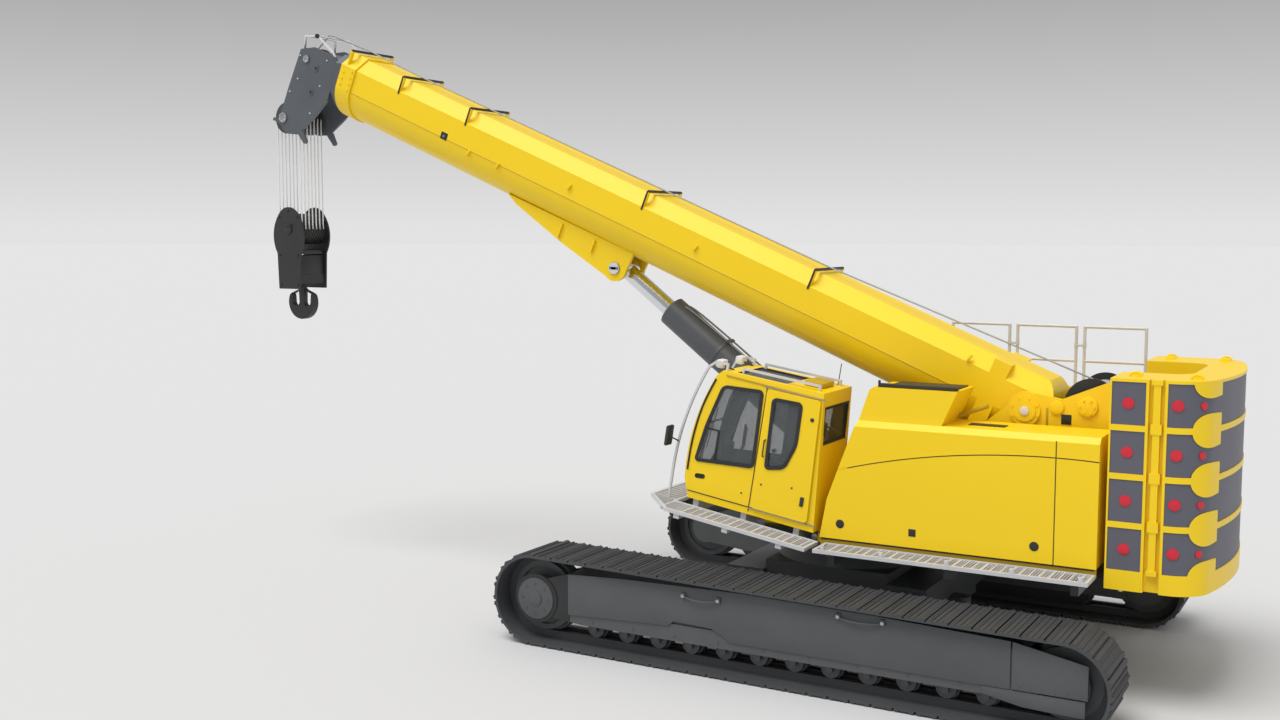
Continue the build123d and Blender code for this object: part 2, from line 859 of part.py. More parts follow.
with BuildPart() as tower:
    with BuildSketch(side_plane(0, 0, 0, hood_side - 70)):
        with BuildLine():
            Polyline(
                (side_deck_front - 460, hood_top + seat),
                (side_deck_front - 590, tower_top - 40),
                (side_deck_front - 640, tower_top),
                (side_deck_front - 640 - tower_length, tower_top),
                (side_deck_front - 450 - tower_length, hood_top + seat),
                close=True,
            )
        make_face()
    extrude(amount=hood_side - 70 - hood_inner)
    offset(
        amount=-hood_wall,
        openings=tower.faces().sort_by(Axis.Z)[0],
        kind=Kind.INTERSECTION,
    )
save(tower.part, "left_hood_tower")

with BuildPart() as engine:
    with BuildSketch(Plane.XY.offset(side_deck_top)):
        with Locations((-1900, -(hood_side + hood_inner) / 2)):
            Rectangle(1450, 560)
    extrude(amount=900)
save(engine.part, "engine")

# ---- Walkways and rails ---------------------------------------------------
for side, name in ((1, "left_walkway"), (-1, "right_walkway")):
    with BuildPart() as walkway:
        with BuildSketch(Plane.XY.offset(side_deck_bottom)):
            with Locations(
                (
                    (hood_rear + walkway_front) / 2,
                    side * (hood_side + 20 + walkway_outer) / 2,
                )
            ):
                Rectangle(walkway_front - hood_rear, walkway_outer - hood_side - 20)
                Rectangle(
                    walkway_front - hood_rear - 2 * grating_border,
                    walkway_outer - hood_side - 20 - 2 * grating_border,
                    mode=Mode.SUBTRACT,
                )
        extrude(amount=walkway_thickness)
        bars = int((walkway_front - hood_rear) / grating_pitch)
        with BuildSketch(Plane.XY.offset(side_deck_bottom)):
            for i in range(1, bars):
                with Locations(
                    (hood_rear + i * grating_pitch, side * (hood_side + 20 + walkway_outer) / 2)
                ):
                    Rectangle(grating_bar, walkway_outer - hood_side - grating_border)
        extrude(amount=walkway_thickness - 8)
    save(walkway.part, name)

with BuildPart() as handrails:
    for start, end in rail_frames:
        rail_y = -hood_side - 40
        for x in (start, end):
            with BuildSketch(Plane.XY.offset(hood_top - 260)):
                with Locations((x, rail_y)):
                    Circle(rail_radius)
            extrude(amount=rail_top - hood_top + 260)
        for z in (rail_top, rail_middle):
            with BuildSketch(Plane.YZ.offset(start)):
                with Locations((rail_y, z)):
                    Circle(rail_radius)
            extrude(amount=end - start)
        for x in (start, end):
            with Locations((x, rail_y, rail_top)):
                Sphere(rail_radius)
            for z in (hood_top - 220, hood_top - 100):
                with BuildSketch(Plane.XZ.offset(-rail_y)):
                    with Locations((x, z)):
                        Circle(rail_radius * 0.7)
                extrude(amount=-(40 - seat))
save(handrails.part, "handrails")

# ---- Counterweight --------------------------------------------------------
def counterweight_outline(inset):
    """Horseshoe outline, open to the front."""
    side = cw_side - inset
    radius = cw_radius - inset
    corner_x = -((radius**2 - side**2) ** 0.5)
    front = cw_front - inset
    with BuildSketch() as outline:
        with BuildLine():
            Polyline((corner_x, side), (front, side), (front, -side), (corner_x, -side))
            ThreePointArc((corner_x, -side), (-radius, 0), (corner_x, side))
        make_face()
        fillet(outline.vertices().group_by(Axis.X)[0], cw_corner)
        for y in (-side, side):
            with Locations((cw_groove_x, y)):
                Rectangle(
                    cw_groove_width, 2 * cw_groove_depth, mode=Mode.SUBTRACT
                )
    return outline.sketch


def horseshoe_hollow():
    with BuildSketch() as hollow:
        depth = cw_radius - cw_rear_wall + cw_front
        with Locations((cw_front - depth / 2 + 100, 0)):
            Rectangle(depth + 200, 2 * (cw_side - cw_wing))
        fillet(hollow.vertices().group_by(Axis.X)[0], 260)
    return hollow.sketch


with BuildPart() as cw_base:
    with BuildSketch(Plane.XY.offset(cw_base_bottom)):
        add(counterweight_outline(0))
    extrude(amount=cw_base_top - cw_base_bottom)
save(cw_base.part, "counterweight_base")

for level in range(cw_slab_count):
    bottom = cw_base_top + level * cw_slab_height
    with BuildPart() as slab:
        with BuildSketch(Plane.XY.offset(bottom)):
            add(counterweight_outline(0))
            add(horseshoe_hollow(), mode=Mode.SUBTRACT)
        extrude(amount=cw_slab_height)
        # recessed panels round the sides and the rear
        with BuildSketch(Plane.XY.offset(bottom + cw_border)):
            add(counterweight_outline(-1))
            add(counterweight_outline(cw_recess), mode=Mode.SUBTRACT)
            with Locations((cw_front + 20, 0)):
                Rectangle(80, 4 * cw_side, mode=Mode.SUBTRACT)
            for side in (-1, 1):
                with Locations((cw_groove_x, side * cw_side)):
                    Rectangle(cw_groove_width + 60, 400, mode=Mode.SUBTRACT)
        extrude(amount=cw_slab_height - 2 * cw_border, mode=Mode.SUBTRACT)
        # the panels narrow to a neck at the rear corners, between two leaves
        for side in (-1, 1):
            near = cw_side if side > 0 else cw_leaf_reach - cw_side
            with BuildSketch(side_plane(0, bottom, 0, near)):
                for z in (0, cw_slab_height):
                    with Locations((cw_leaf_x, z)):
                        Ellipse(0.9 * cw_leaf, cw_leaf)
            extrude(amount=cw_leaf_reach)
        with BuildSketch(Plane.XY.offset(bottom)):
            add(counterweight_outline(0))
            add(horseshoe_hollow(), mode=Mode.SUBTRACT)
        extrude(amount=cw_slab_height, mode=Mode.INTERSECT)
        # upright rib and hinge knuckles in the side grooves
        for side in (-1, 1):
            with BuildSketch(Plane.XY.offset(bottom)):
                with Locations((cw_groove_x, side * (cw_side - cw_groove_depth / 2 - 12))):
                    Rectangle(cw_rib, cw_groove_depth)
            extrude(amount=cw_slab_height)
            for z in (bottom, bottom + cw_slab_height - cw_knuckle / 2):
                with BuildSketch(Plane.XY.offset(z)):
                    with Locations((cw_groove_x, side * (cw_side - cw_groove_depth / 2 - 4))):
                        Rectangle(cw_knuckle, cw_groove_depth)
                extrude(amount=cw_knuckle / 2)
    save(slab.part, f"counterweight_slab_{level + 1}")

with BuildPart() as tail:
    with BuildSketch(Plane.XY.offset(deck_bottom)):
        with BuildLine():
            Polyline((-4300, 800), (deck_rear - seat, 800), (deck_rear - seat, -800), (-4300, -800))
            ThreePointArc((-4300, -800), (-4560, 0), (-4300, 800))
        make_face()
    extrude(amount=cw_base_bottom - deck_bottom)
save(tail.part, "counterweight_carrier")

# ---- Boom -----------------------------------------------------------------
boom_inside = boom_wall  # inset of the base section's inner face
fly1_outer = boom_wall + section_gap
fly1_inner = fly1_outer + 12
fly2_outer = fly1_inner + section_gap
fly2_inner = fly2_outer + 11
tip_outer = fly2_inner + section_gap
tip_inner = tip_outer + 10

with BuildPart() as boom_base:
    add(boom_tube(boom_tail, boom_front, 0, boom_inside))
    # closed, rounded foot with the pivot's boss
    with BuildSketch(boom_side(boom_half_width)):
        with BuildLine():
            Polyline((620, 400), (620, -560), (250, -420), (-140, -180))
            ThreePointArc((-140, -180), (-250, 120), (-60, 400))
            Line((-60, 400), (620, 400))
        make_face()
    extrude(amount=2 * boom_half_width)
    with BuildSketch(boom_section(boom_tail - 200)):
        Rectangle(1400, 2400)
        add(boom_outline(0), mode=Mode.SUBTRACT)
    extrude(amount=900, mode=Mode.SUBTRACT)
    with BuildSketch(boom_side(boom_half_width)):
        Circle(215)
    extrude(amount=2 * boom_half_width)
    # cut away behind the rounded foot
    with BuildSketch(boom_side(boom_half_width + 100)):
        with BuildLine():
            Polyline((-700, 900), (-60, 900), (-60, 400))
            ThreePointArc((-60, 400), (-250, 120), (-140, -180))
            Polyline((-140, -180), (250, -420), (520, -560), (520, -900), (-700, -900), (-700, 900))
        make_face()
    extrude(amount=2 * boom_half_width + 200, mode=Mode.SUBTRACT)
    # side washers that centre the boom between the frame's plates
    for face in (plate_inner - seat, -boom_half_width):
        with BuildSketch(boom_side(face)):
            Circle(180)
        extrude(amount=plate_inner - seat - boom_half_width)
    with BuildSketch(boom_side(1000)):
        Circle(pivot_pin_radius + seat)
    extrude(amount=2000, mode=Mode.SUBTRACT)
    # slider pads inside the front end
    add(boom_tube(boom_front - pad_length, boom_front, boom_inside - 1, fly1_outer - seat))
    # collar round the front end
    add(boom_tube(boom_front - 300, boom_front, -28, 0.5))
    # bracket for the luffing cylinder: two ears with cross ribs
    for face in (ear_inner + ear_thickness, -ear_inner):
        with BuildSketch(boom_side(face)):
            with BuildLine():
                Polyline(
                    (8350, boom_belly + 60),
                    (8150, boom_belly - 30),
                    (7171, boom_belly - 250),
                    (rod_pin_s + 100, rod_pin_n - 165),
                    (rod_pin_s - 130, rod_pin_n - 130),
                    (rod_pin_s - 190, rod_pin_n + 60),
                    (rod_pin_s - 210, boom_belly + 90),
                    close=True,
                )
            make_face()
            with Locations((rod_pin_s, rod_pin_n)):
                Circle(190)
        extrude(amount=ear_thickness)
    for s, drop in ((7250, 215), (6640, 190)):
        with BuildSketch(boom_section(s)):
            with Locations((0, boom_belly - drop / 2 + 20)):
                Rectangle(2 * ear_inner + 2 * ear_thickness + 90, drop)
        extrude(amount=28)
    with BuildSketch(boom_side(1000)):
        with Locations((rod_pin_s, rod_pin_n)):
            Circle(rod_pin_radius + seat)
    extrude(amount=2000, mode=Mode.SUBTRACT)
    # supports over the top for the hoist rope: a round bar on two legs
    for s, rise in rope_guides:
        bar_n = boom_top + rise
        for side in (-1, 1):
            edge = side * (boom_half_width + 8)
            with BuildSketch(boom_section(s - guide_leg / 2)):
                with BuildLine():
                    Polyline(
                        (edge, boom_crease - 40),
                        (edge, bar_n),
                        (edge - side * 45, bar_n + guide_bar_radius),
                        (edge - side * 75, bar_n),
                        (edge - side * 60, boom_crease - 40),
                        close=True,
                    )
                make_face()
            extrude(amount=guide_leg)
        with BuildSketch(boom_side(boom_half_width - 20)):
            with Locations((s, bar_n)):
                Circle(guide_bar_radius)
        extrude(amount=2 * (boom_half_width - 20))
    # nothing reaches into the room of the sliding sections
    add(boom_core(700, boom_front - pad_length, boom_inside), mode=Mode.SUBTRACT)
save(boom_base.part, "boom_base")

for name, start, outer, inner, parent_inner, child_outer, front in (
    ("boom_section_2", 900, fly1_outer, fly1_inner, boom_inside, fly2_outer, boom_front + collar_gap),
    (
        "boom_section_3",
        1200,
        fly2_outer,
        fly2_inner,
        fly1_inner,
        tip_outer,
        boom_front + 2 * collar_gap + collar_length,
    ),
):
    with BuildPart() as section:
        add(boom_tube(start, front + collar_length, outer, inner))
        add(boom_tube(front, front + collar_length, parent_inner, outer + 1))
        # pads: outside at the rear, inside at the front
        add(boom_tube(start, start + pad_length, parent_inner + seat, outer + 1))
        add(
            boom_tube(
                front + collar_length - pad_length,
                front + collar_length,
                inner - 1,
                child_outer - seat,
            )
        )
    save(section.part, name)

head_rear = boom_front + 3 * collar_gap + 2 * collar_length
with BuildPart() as tip:
    add(boom_tube(1500, head_rear + 300, tip_outer, tip_inner))
    add(boom_tube(1500, 1500 + pad_length, fly2_inner + seat, tip_outer + 1))
    # cheeks of the head
    nose = head_sheave_s + cheek_nose
    chin_n = head_sheave_n - cheek_chin
    for face in (cheek_inner + cheek_thickness, -cheek_inner):
        with BuildSketch(boom_side(face)):
            with BuildLine():
                Polyline(
                    (head_rear, cheek_top - 65),
                    (head_rear + 80, cheek_top),
                    (nose - 320, cheek_top),
                    (nose - 50, cheek_top - 120),
                    (nose - 10, head_sheave_n + 490),
                    (nose, head_sheave_n + 50),
                )
                ThreePointArc(
                    (nose, head_sheave_n + 50),
                    (nose - 90, head_sheave_n - 150),
                    (nose - 260, chin_n),
                )
                Polyline(
                    (nose - 260, chin_n),
                    (nose - 500, chin_n + 100),
                    (nose - 730, chin_n + 460),
                    (head_rear, boom_belly + 120),
                    (head_rear, cheek_top - 65),
                )
            make_face()
            # arms that keep the ropes in the sheaves
            with BuildLine():
                Polyline(
                    (nose - 180, head_sheave_n - 20),
                    (nose + 110, head_sheave_n - 80),
                    (nose + 110, head_sheave_n - 115),
                    (nose - 200, head_sheave_n - 150),
                    close=True,
                )
            make_face()
            with BuildLine():
                Polyline(
                    (nose - 560, chin_n + 160),
                    (nose - 680, chin_n + 40),
                    (nose - 640, chin_n - 20),
                    (nose - 440, chin_n + 90),
                    close=True,
                )
            make_face()
            with Locations((nose - 655, chin_n + 15)):
                Circle(42)
        extrude(amount=cheek_thickness)
    # cross plates that join the cheeks to the section
    for s, n, length, height in (
        (head_rear + 60, -100, 40, 560),
        (head_rear + 264, cheek_top - 65, 300, 30),
        (nose - 70, head_sheave_n + 650, 30, 380),
    ):
        with BuildSketch(boom_side(cheek_inner + 5)):
            with Locations((s, n)):
                Rectangle(length, height)
        extrude(amount=2 * cheek_inner + 10)
    # guard of bent rods that keeps the rope on the upper sheave
    guard_top = cheek_top + guard_rise
    for face in (-1, 1):
        rod_y = face * (cheek_inner + cheek_thickness / 2) + guard_rod / 2
        with BuildSketch(boom_side(rod_y)):
            with BuildLine():
                Polyline(
                    (nose - 120, cheek_top - 100),
                    (nose - 60, guard_top - 80),
                    (nose - 315, guard_top),
                    (head_rear + 170, cheek_top + 50),
                    (head_rear + 75, cheek_top - 30),
                )
            trace(line_width=guard_rod)
        extrude(amount=guard_rod)
    for s, n in ((nose - 60, guard_top - 80), (nose - 315, guard_top)):
        with BuildSketch(boom_side(cheek_inner + cheek_thickness / 2)):
            with Locations((s, n)):
                Circle(guard_rod / 2)
        extrude(amount=2 * cheek_inner + cheek_thickness)
    with BuildSketch(boom_side(1000)):
        with Locations((head_sheave_s, head_sheave_n)):
            Circle(head_pin_radius + seat)
        with Locations((top_sheave_s, top_sheave_n)):
            Circle(head_pin_radius + seat)
        for s, n in jib_bores:
            with Locations((s, n)):
                Circle(jib_bore_radius)
    extrude(amount=2000, mode=Mode.SUBTRACT)
save(tip.part, "boom_tip")


def sheave_stack(x, z, count, radius, pin_half):
    """Grooved sheaves side by side on one pin."""
    groove = 24.0
    with BuildPart() as stack:
        with BuildSketch(Plane.YZ.offset(x)):
            with BuildLine():
                half = sheave_width / 2
                Polyline(
                    (-half, z + 70),
                    (-half, z + radius + groove),
                    (-half + 10, z + radius + groove),
                    (-rope_radius, z + radius),
                    (rope_radius, z + radius),
                    (half - 10, z + radius + groove),
                    (half, z + radius + groove),
                    (half, z + 70),
                    close=True,
                )
            make_face()
        revolve(axis=Axis((x, 0, z), (0, 1, 0)))
    sheave = stack.part
    first = -(count - 1) / 2 * sheave_pitch
    with BuildPart() as row:
        with BuildSketch(side_plane(x, z, 0, pin_half)):
            Circle(head_pin_radius)
        extrude(amount=2 * pin_half)
        with BuildSketch(side_plane(x, z, 0, -first + sheave_width / 2 + 8)):
            Circle(80)
        extrude(amount=2 * (-first + sheave_width / 2 + 8))
        for i in range(count):
            add(sheave.moved(Location((0, first + i * sheave_pitch, 0))))
    return row.part


head_x, head_z = boom_point(head_sheave_s, head_sheave_n)
top_x, top_z = boom_point(top_sheave_s, top_sheave_n)
save(
    sheave_stack(head_x, head_z, sheave_count, sheave_radius, cheek_inner + cheek_thickness),
    "head_sheaves",
)
save(
    sheave_stack(top_x, top_z, 1, top_sheave_radius, cheek_inner + cheek_thickness),
    "top_sheave",
)

# ---- Luffing cylinder -----------------------------------------------------
rod_x, rod_z = boom_point(rod_pin_s, rod_pin_n)
luff_reach = hypot(rod_x - foot_x, rod_z - foot_z)
luff_turn = degrees(atan2(rod_z - foot_z, rod_x - foot_x))


def luff_station(back):
    """Plane across the cylinder, this far back from the rod's pin."""
    turn = radians(luff_turn)
    return Plane(
        origin=(rod_x - back * cos(turn), 0, rod_z - back * sin(turn)),
        x_dir=(0, 1, 0),
        z_dir=(-cos(turn), 0, -sin(turn)),
    )


with BuildPart() as rod:
    with BuildSketch(luff_station(0)):
        Circle(rod_radius)
    extrude(amount=luff_reach - rod_short)
    with BuildSketch(luff_station(luff_reach - rod_short - piston_length)):
        Circle(barrel_bore - seat)
    extrude(amount=piston_length)
    with BuildSketch(side_plane(rod_x, rod_z, 0, rod_eye_width / 2)):
        Circle(rod_eye_radius)
    extrude(amount=rod_eye_width)
    with BuildSketch(side_plane(rod_x, rod_z, 0, ear_inner - seat)):
        Circle(rod_pin_radius + 45)
    extrude(amount=2 * (ear_inner - seat))
    with BuildSketch(side_plane(rod_x, rod_z, 0, ear_inner + ear_thickness + 30)):
        Circle(rod_pin_radius)
    extrude(amount=2 * (ear_inner + ear_thickness + 30))
save(rod.part, "luff_rod")

with BuildPart() as barrel:
    with BuildSketch(luff_station(rod_shown)):
        Circle(barrel_radius)
    extrude(amount=luff_reach - rod_shown - foot_eye_radius - 75)
    with BuildSketch(luff_station(luff_reach - foot_eye_radius - 85)):
        Rectangle(300, 320)
    extrude(amount=foot_eye_radius + 85)
    with BuildSketch(luff_station(rod_shown + gland_length)):
        Circle(barrel_bore)
    extrude(
        amount=luff_reach - rod_shown - gland_length - barrel_end, mode=Mode.SUBTRACT
    )
    with BuildSketch(luff_station(rod_shown)):
        Circle(rod_radius + seat)
    extrude(amount=gland_length + 10, mode=Mode.SUBTRACT)
    with BuildSketch(side_plane(foot_x, foot_z, 0, foot_ear_inner - foot_play)):
        Circle(foot_eye_radius)
    extrude(amount=2 * (foot_ear_inner - foot_play))
save(barrel.part, "luff_barrel")

# ---- Hoist ropes and hook block -------------------------------------------
fall_x = head_x
with BuildPart() as falls:
    first = -(sheave_count - 1) / 2 * sheave_pitch
    for i in range(sheave_count):
        for offset_x in (-sheave_radius - rope_radius - seat, sheave_radius + rope_radius + seat):
            with BuildSketch(Plane.XY.offset(block_axis_z)):
                with Locations((fall_x + offset_x, first + i * sheave_pitch)):
                    Circle(rope_radius)
            extrude(amount=head_z - block_axis_z)
save(falls.part, "hoist_ropes")

save(
    sheave_stack(fall_x, block_axis_z, sheave_count, sheave_radius, block_inner + block_cheek),
    "block_sheaves",
)

with BuildPart() as block:
    for face in (block_inner + block_cheek, -block_inner):
        with BuildSketch(side_plane(fall_x, block_axis_z, 0, face)):
            with BuildLine():
                ThreePointArc(
                    (-165, block_crown - 65), (0, block_crown), (165, block_crown - 65)
                )
                ThreePointArc(
                    (165, block_crown - 65), (block_half, -20), (270, -block_waist)
                )
                Polyline(
                    (270, -block_waist),
                    (258, -block_waist - 25),
                    (235, -block_drop),
                    (-235, -block_drop),
                    (-258, -block_waist - 25),
                    (-270, -block_waist),
                )
                ThreePointArc(
                    (-270, -block_waist), (-block_half, -20), (-165, block_crown - 65)
                )
            make_face()
            Circle(head_pin_radius + seat, mode=Mode.SUBTRACT)
        extrude(amount=block_cheek)
    for z, height in ((-block_waist - 35, 60), (80 - block_drop, 160)):
        with BuildSketch(Plane.XY.offset(block_axis_z + z)):
            with Locations((fall_x, 0)):
                Rectangle(430, 2 * block_inner + 10)
        extrude(amount=height)
    with BuildSketch(Plane.XY.offset(block_axis_z - block_drop + 60)):
        with Locations((fall_x, 0)):
            Circle(hook_shank + seat)
    extrude(amount=260, mode=Mode.SUBTRACT)
save(block.part, "hook_block")

hook_z = block_axis_z - block_drop
with BuildPart() as hook:
    # shank and nut that turn in the block's crosshead
    with BuildSketch(Plane.XY.offset(hook_z - 120)):
        with Locations((fall_x, 0)):
            Circle(hook_shank)
    extrude(amount=120 + 240 + seat)
    with BuildSketch(Plane.XY.offset(hook_z + 240 + seat)):
        with Locations((fall_x, 0)):
            RegularPolygon(hook_shank + 45, 6)
    extrude(amount=110)
    # double horns with a bowl on each side of the shank, and their rope latches
    tip_h = bowl_depth + 65
    with BuildSketch(side_plane(fall_x, hook_z - hook_drop, 0, hook_thickness / 2)):
        with BuildLine():
            Polyline(
                (bowl_half - bowl_reach, 20),
                (8 - hook_shank, hook_drop),
                (hook_shank - 8, hook_drop),
                (bowl_reach - bowl_half, 20),
            )
            for side in (1, -1):
                ThreePointArc(
                    (side * (bowl_reach - bowl_half), 20),
                    (side * bowl_reach, -bowl_depth),
                    (side * (bowl_reach + bowl_half), 20),
                )
                Polyline(
                    (side * (bowl_reach + bowl_half), 20),
                    (side * (bowl_reach + bowl_half + 8), tip_h - 20),
                    (side * (hook_reach - 24), tip_h),
                    (side * hook_reach, tip_h - 28),
                )
            ThreePointArc(
                (hook_reach, tip_h - 28), (0, -hook_depth), (-hook_reach, tip_h - 28)
            )
        make_face()
    extrude(amount=hook_thickness)
    for side in (1, -1):
        with BuildSketch(side_plane(fall_x, hook_z - hook_drop, 0, hook_thickness * 0.3)):
            with BuildLine():
                Polyline(
                    (side * 30, hook_drop - 12),
                    (side * 44, hook_drop - 6),
                    (side * (hook_reach - 16), tip_h + 6),
                    (side * (hook_reach - 22), tip_h - 18),
                    (side * (hook_reach - 32), tip_h - 18),
                    close=True,
                )
            make_face()
        extrude(amount=hook_thickness * 0.6)
save(hook.part, "hook")

# ---- Cab ------------------------------------------------------------------
with BuildPart() as cab:
    with BuildSketch(cab_plane(cab_side)) as outline:
        with BuildLine():
            Polyline(
                (cab_nose - 325, cab_height),
                (150, cab_height),
                (0, cab_floor_h),
                (cab_nose - 85, cab_floor_h),
                (cab_nose, cab_nose_low),
            )
            ThreePointArc(
                (cab_nose, cab_nose_low),
                (cab_nose - 30, cab_mid),
                (cab_nose - 245, cab_height - 80),
            )
            Line((cab_nose - 245, cab_height - 80), (cab_nose - 325, cab_height))
        make_face()
    extrude(amount=cab_width)
    with BuildSketch(cab_plane(cab_side - cab_wall)) as inside:
        with BuildLine():
            Polyline(
                (cab_nose - 340, cab_height - cab_wall),
                (190, cab_height - cab_wall),
                (45, cab_floor_h + cab_wall),
                (cab_nose - 105, cab_floor_h + cab_wall),
                (cab_nose - cab_wall, cab_nose_low),
            )
            ThreePointArc(
                (cab_nose - cab_wall, cab_nose_low),
                (cab_nose - 30 - cab_wall, cab_mid),
                (cab_nose - 240 - cab_wall, cab_height - 95),
            )
            Line(
                (cab_nose - 240 - cab_wall, cab_height - 95),
                (cab_nose - 340, cab_height - cab_wall),
            )
        make_face()
    extrude(amount=cab_width - 2 * cab_wall, mode=Mode.SUBTRACT)
    # side windows, both sides
    for face in (cab_side + 1, cab_side - cab_width + cab_wall + 1):
        with BuildSketch(cab_plane(face)) as window:
            with BuildLine():
                Polyline(*side_window, close=True)
            make_face()
            fillet(window.vertices(), 60)
        extrude(amount=cab_wall + 2, mode=Mode.SUBTRACT)
    with BuildSketch(cab_plane(cab_side - cab_width + cab_wall + 1)) as window:
        with BuildLine():
            Polyline(*rear_side_window, close=True)
        make_face()
        fillet(window.vertices(), 60)
    extrude(amount=cab_wall + 2, mode=Mode.SUBTRACT)
    # doorway
    with BuildSketch(cab_plane(cab_side + 1)) as doorway:
        with BuildLine():
            Polyline(*doorway_outline, close=True)
        make_face()
        fillet(doorway.vertices(), 50)
    extrude(amount=cab_wall + 2, mode=Mode.SUBTRACT)
    # windscreen, rear window and roof window
    for a0, a1, h0, h1 in (
        (cab_nose - 385, cab_nose + 315, screen_sill, cab_height - 160),
        (-200, 400, rear_window_sill, window_top),
        (*roof_window, cab_height - 220, cab_height + 180),
    ):
        with BuildSketch(cab_plane(cab_side - 90)):
            with Locations(((a0 + a1) / 2, (h0 + h1) / 2)):
                Rectangle(a1 - a0, h1 - h0)
        extrude(amount=cab_width - 180, mode=Mode.SUBTRACT)
    # oval handhold near the front of the door's side
    with BuildSketch(cab_plane(cab_side)):
        with Locations((cab_nose - 215, screen_sill - 40)):
            SlotOverall(150, 66, rotation=-6)
    extrude(amount=15, mode=Mode.SUBTRACT)
    # hinge lugs under the rear
    for y in (cab_side - 160, cab_side - cab_width + 80):
        with BuildSketch(cab_plane(y)):
            with BuildLine():
                Polyline((-45, 0), (45, 0), (200, cab_floor_h + 5), (0, cab_floor_h + 5), close=True)
            make_face()
            Circle(48)
            Circle(hinge_pin_radius + seat, mode=Mode.SUBTRACT)
        extrude(amount=60)
save(cab.part, "cab_shell")

with BuildPart() as hinge_pin:
    with BuildSketch(cab_plane(cab_side - 60)):
        Circle(hinge_pin_radius)
    extrude(amount=cab_width - 150)
save(hinge_pin.part, "cab_hinge_pin")

door_y = cab_side + door_gap + door_thickness
with BuildPart() as door:
    with BuildSketch(cab_plane(door_y)) as panel:
        with BuildLine():
            Polyline((875, 165), (895, door_top), (165, door_top), (95, 165), close=True)
        make_face()
        fillet(panel.vertices(), 45)
    extrude(amount=door_thickness)
    with BuildSketch(cab_plane(door_y + 1)) as window:
        with BuildLine():
            Polyline(*door_window, close=True)
        make_face()
        fillet(window.vertices(), 60)
    extrude(amount=door_thickness + 2, mode=Mode.SUBTRACT)
    # hangers that run in the rails
    for a, h in ((200, door_top - 25), (700, door_top - 25), (200, 175), (700, 175)):
        with BuildSketch(cab_plane(door_y - door_thickness)):
            with Locations((a + 60, h)):
                Rectangle(70, 24)
        extrude(amount=door_gap - seat)
save(door.part, "cab_door")

with BuildPart() as door_glass:
    with BuildSketch(cab_plane(door_y - 10)) as window:
        with BuildLine():
            Polyline(*door_window, close=True)
        make_face()
        fillet(window.vertices(), 60)
        offset(amount=-seat)
    extrude(amount=glass)
save(door_glass.part, "door_glass")

with BuildPart() as cab_glass:
    for face in (cab_side - glass_setback, cab_side - cab_width + glass_setback + glass):
        with BuildSketch(cab_plane(face)) as window:
            with BuildLine():
                Polyline(*side_window, close=True)
            make_face()
            fillet(window.vertices(), 60)
            offset(amount=-seat)
        extrude(amount=glass)
    with BuildSketch(cab_plane(cab_side - cab_width + glass_setback + glass)) as window:
        with BuildLine():
            Polyline(*rear_side_window, close=True)
        make_face()
        fillet(window.vertices(), 60)
        offset(amount=-seat)
    extrude(amount=glass)
    # rear window, leaning with the rear wall, and roof window
    for outline in (
        (
            (116, rear_window_sill + seat),
            (158, window_top - seat),
            (158 + glass, window_top - seat),
            (116 + glass, rear_window_sill + seat),
        ),
        (
            (roof_window[0] + seat, cab_height - 16 - glass),
            (roof_window[1] - seat, cab_height - 16 - glass),
            (roof_window[1] - seat, cab_height - 16),
            (roof_window[0] + seat, cab_height - 16),
        ),
    ):
        with BuildSketch(cab_plane(cab_side - 90 - seat)):
            with BuildLine():
                Polyline(*outline, close=True)
            make_face()
        extrude(amount=cab_width - 180 - 2 * seat)
save(cab_glass.part, "cab_side_glass")

with BuildPart() as windscreen:
    with BuildSketch(cab_plane(cab_side - 90 - seat)) as screen:
        with BuildLine():
            screen_top = cab_height - 160 - seat
            low = (cab_nose - 9, screen_sill + seat)
            high = (cab_nose - 217, screen_top)
            low_inner = (low[0] - glass, low[1])
            high_inner = (high[0] - glass, high[1])
            ThreePointArc(low, (cab_nose - 39, cab_mid), high)
            Line(high, high_inner)
            ThreePointArc(high_inner, (cab_nose - 39 - glass, cab_mid), low_inner)
            Line(low_inner, low)
        make_face()
    extrude(amount=cab_width - 180 - 2 * seat)
save(windscreen.part, "windscreen")

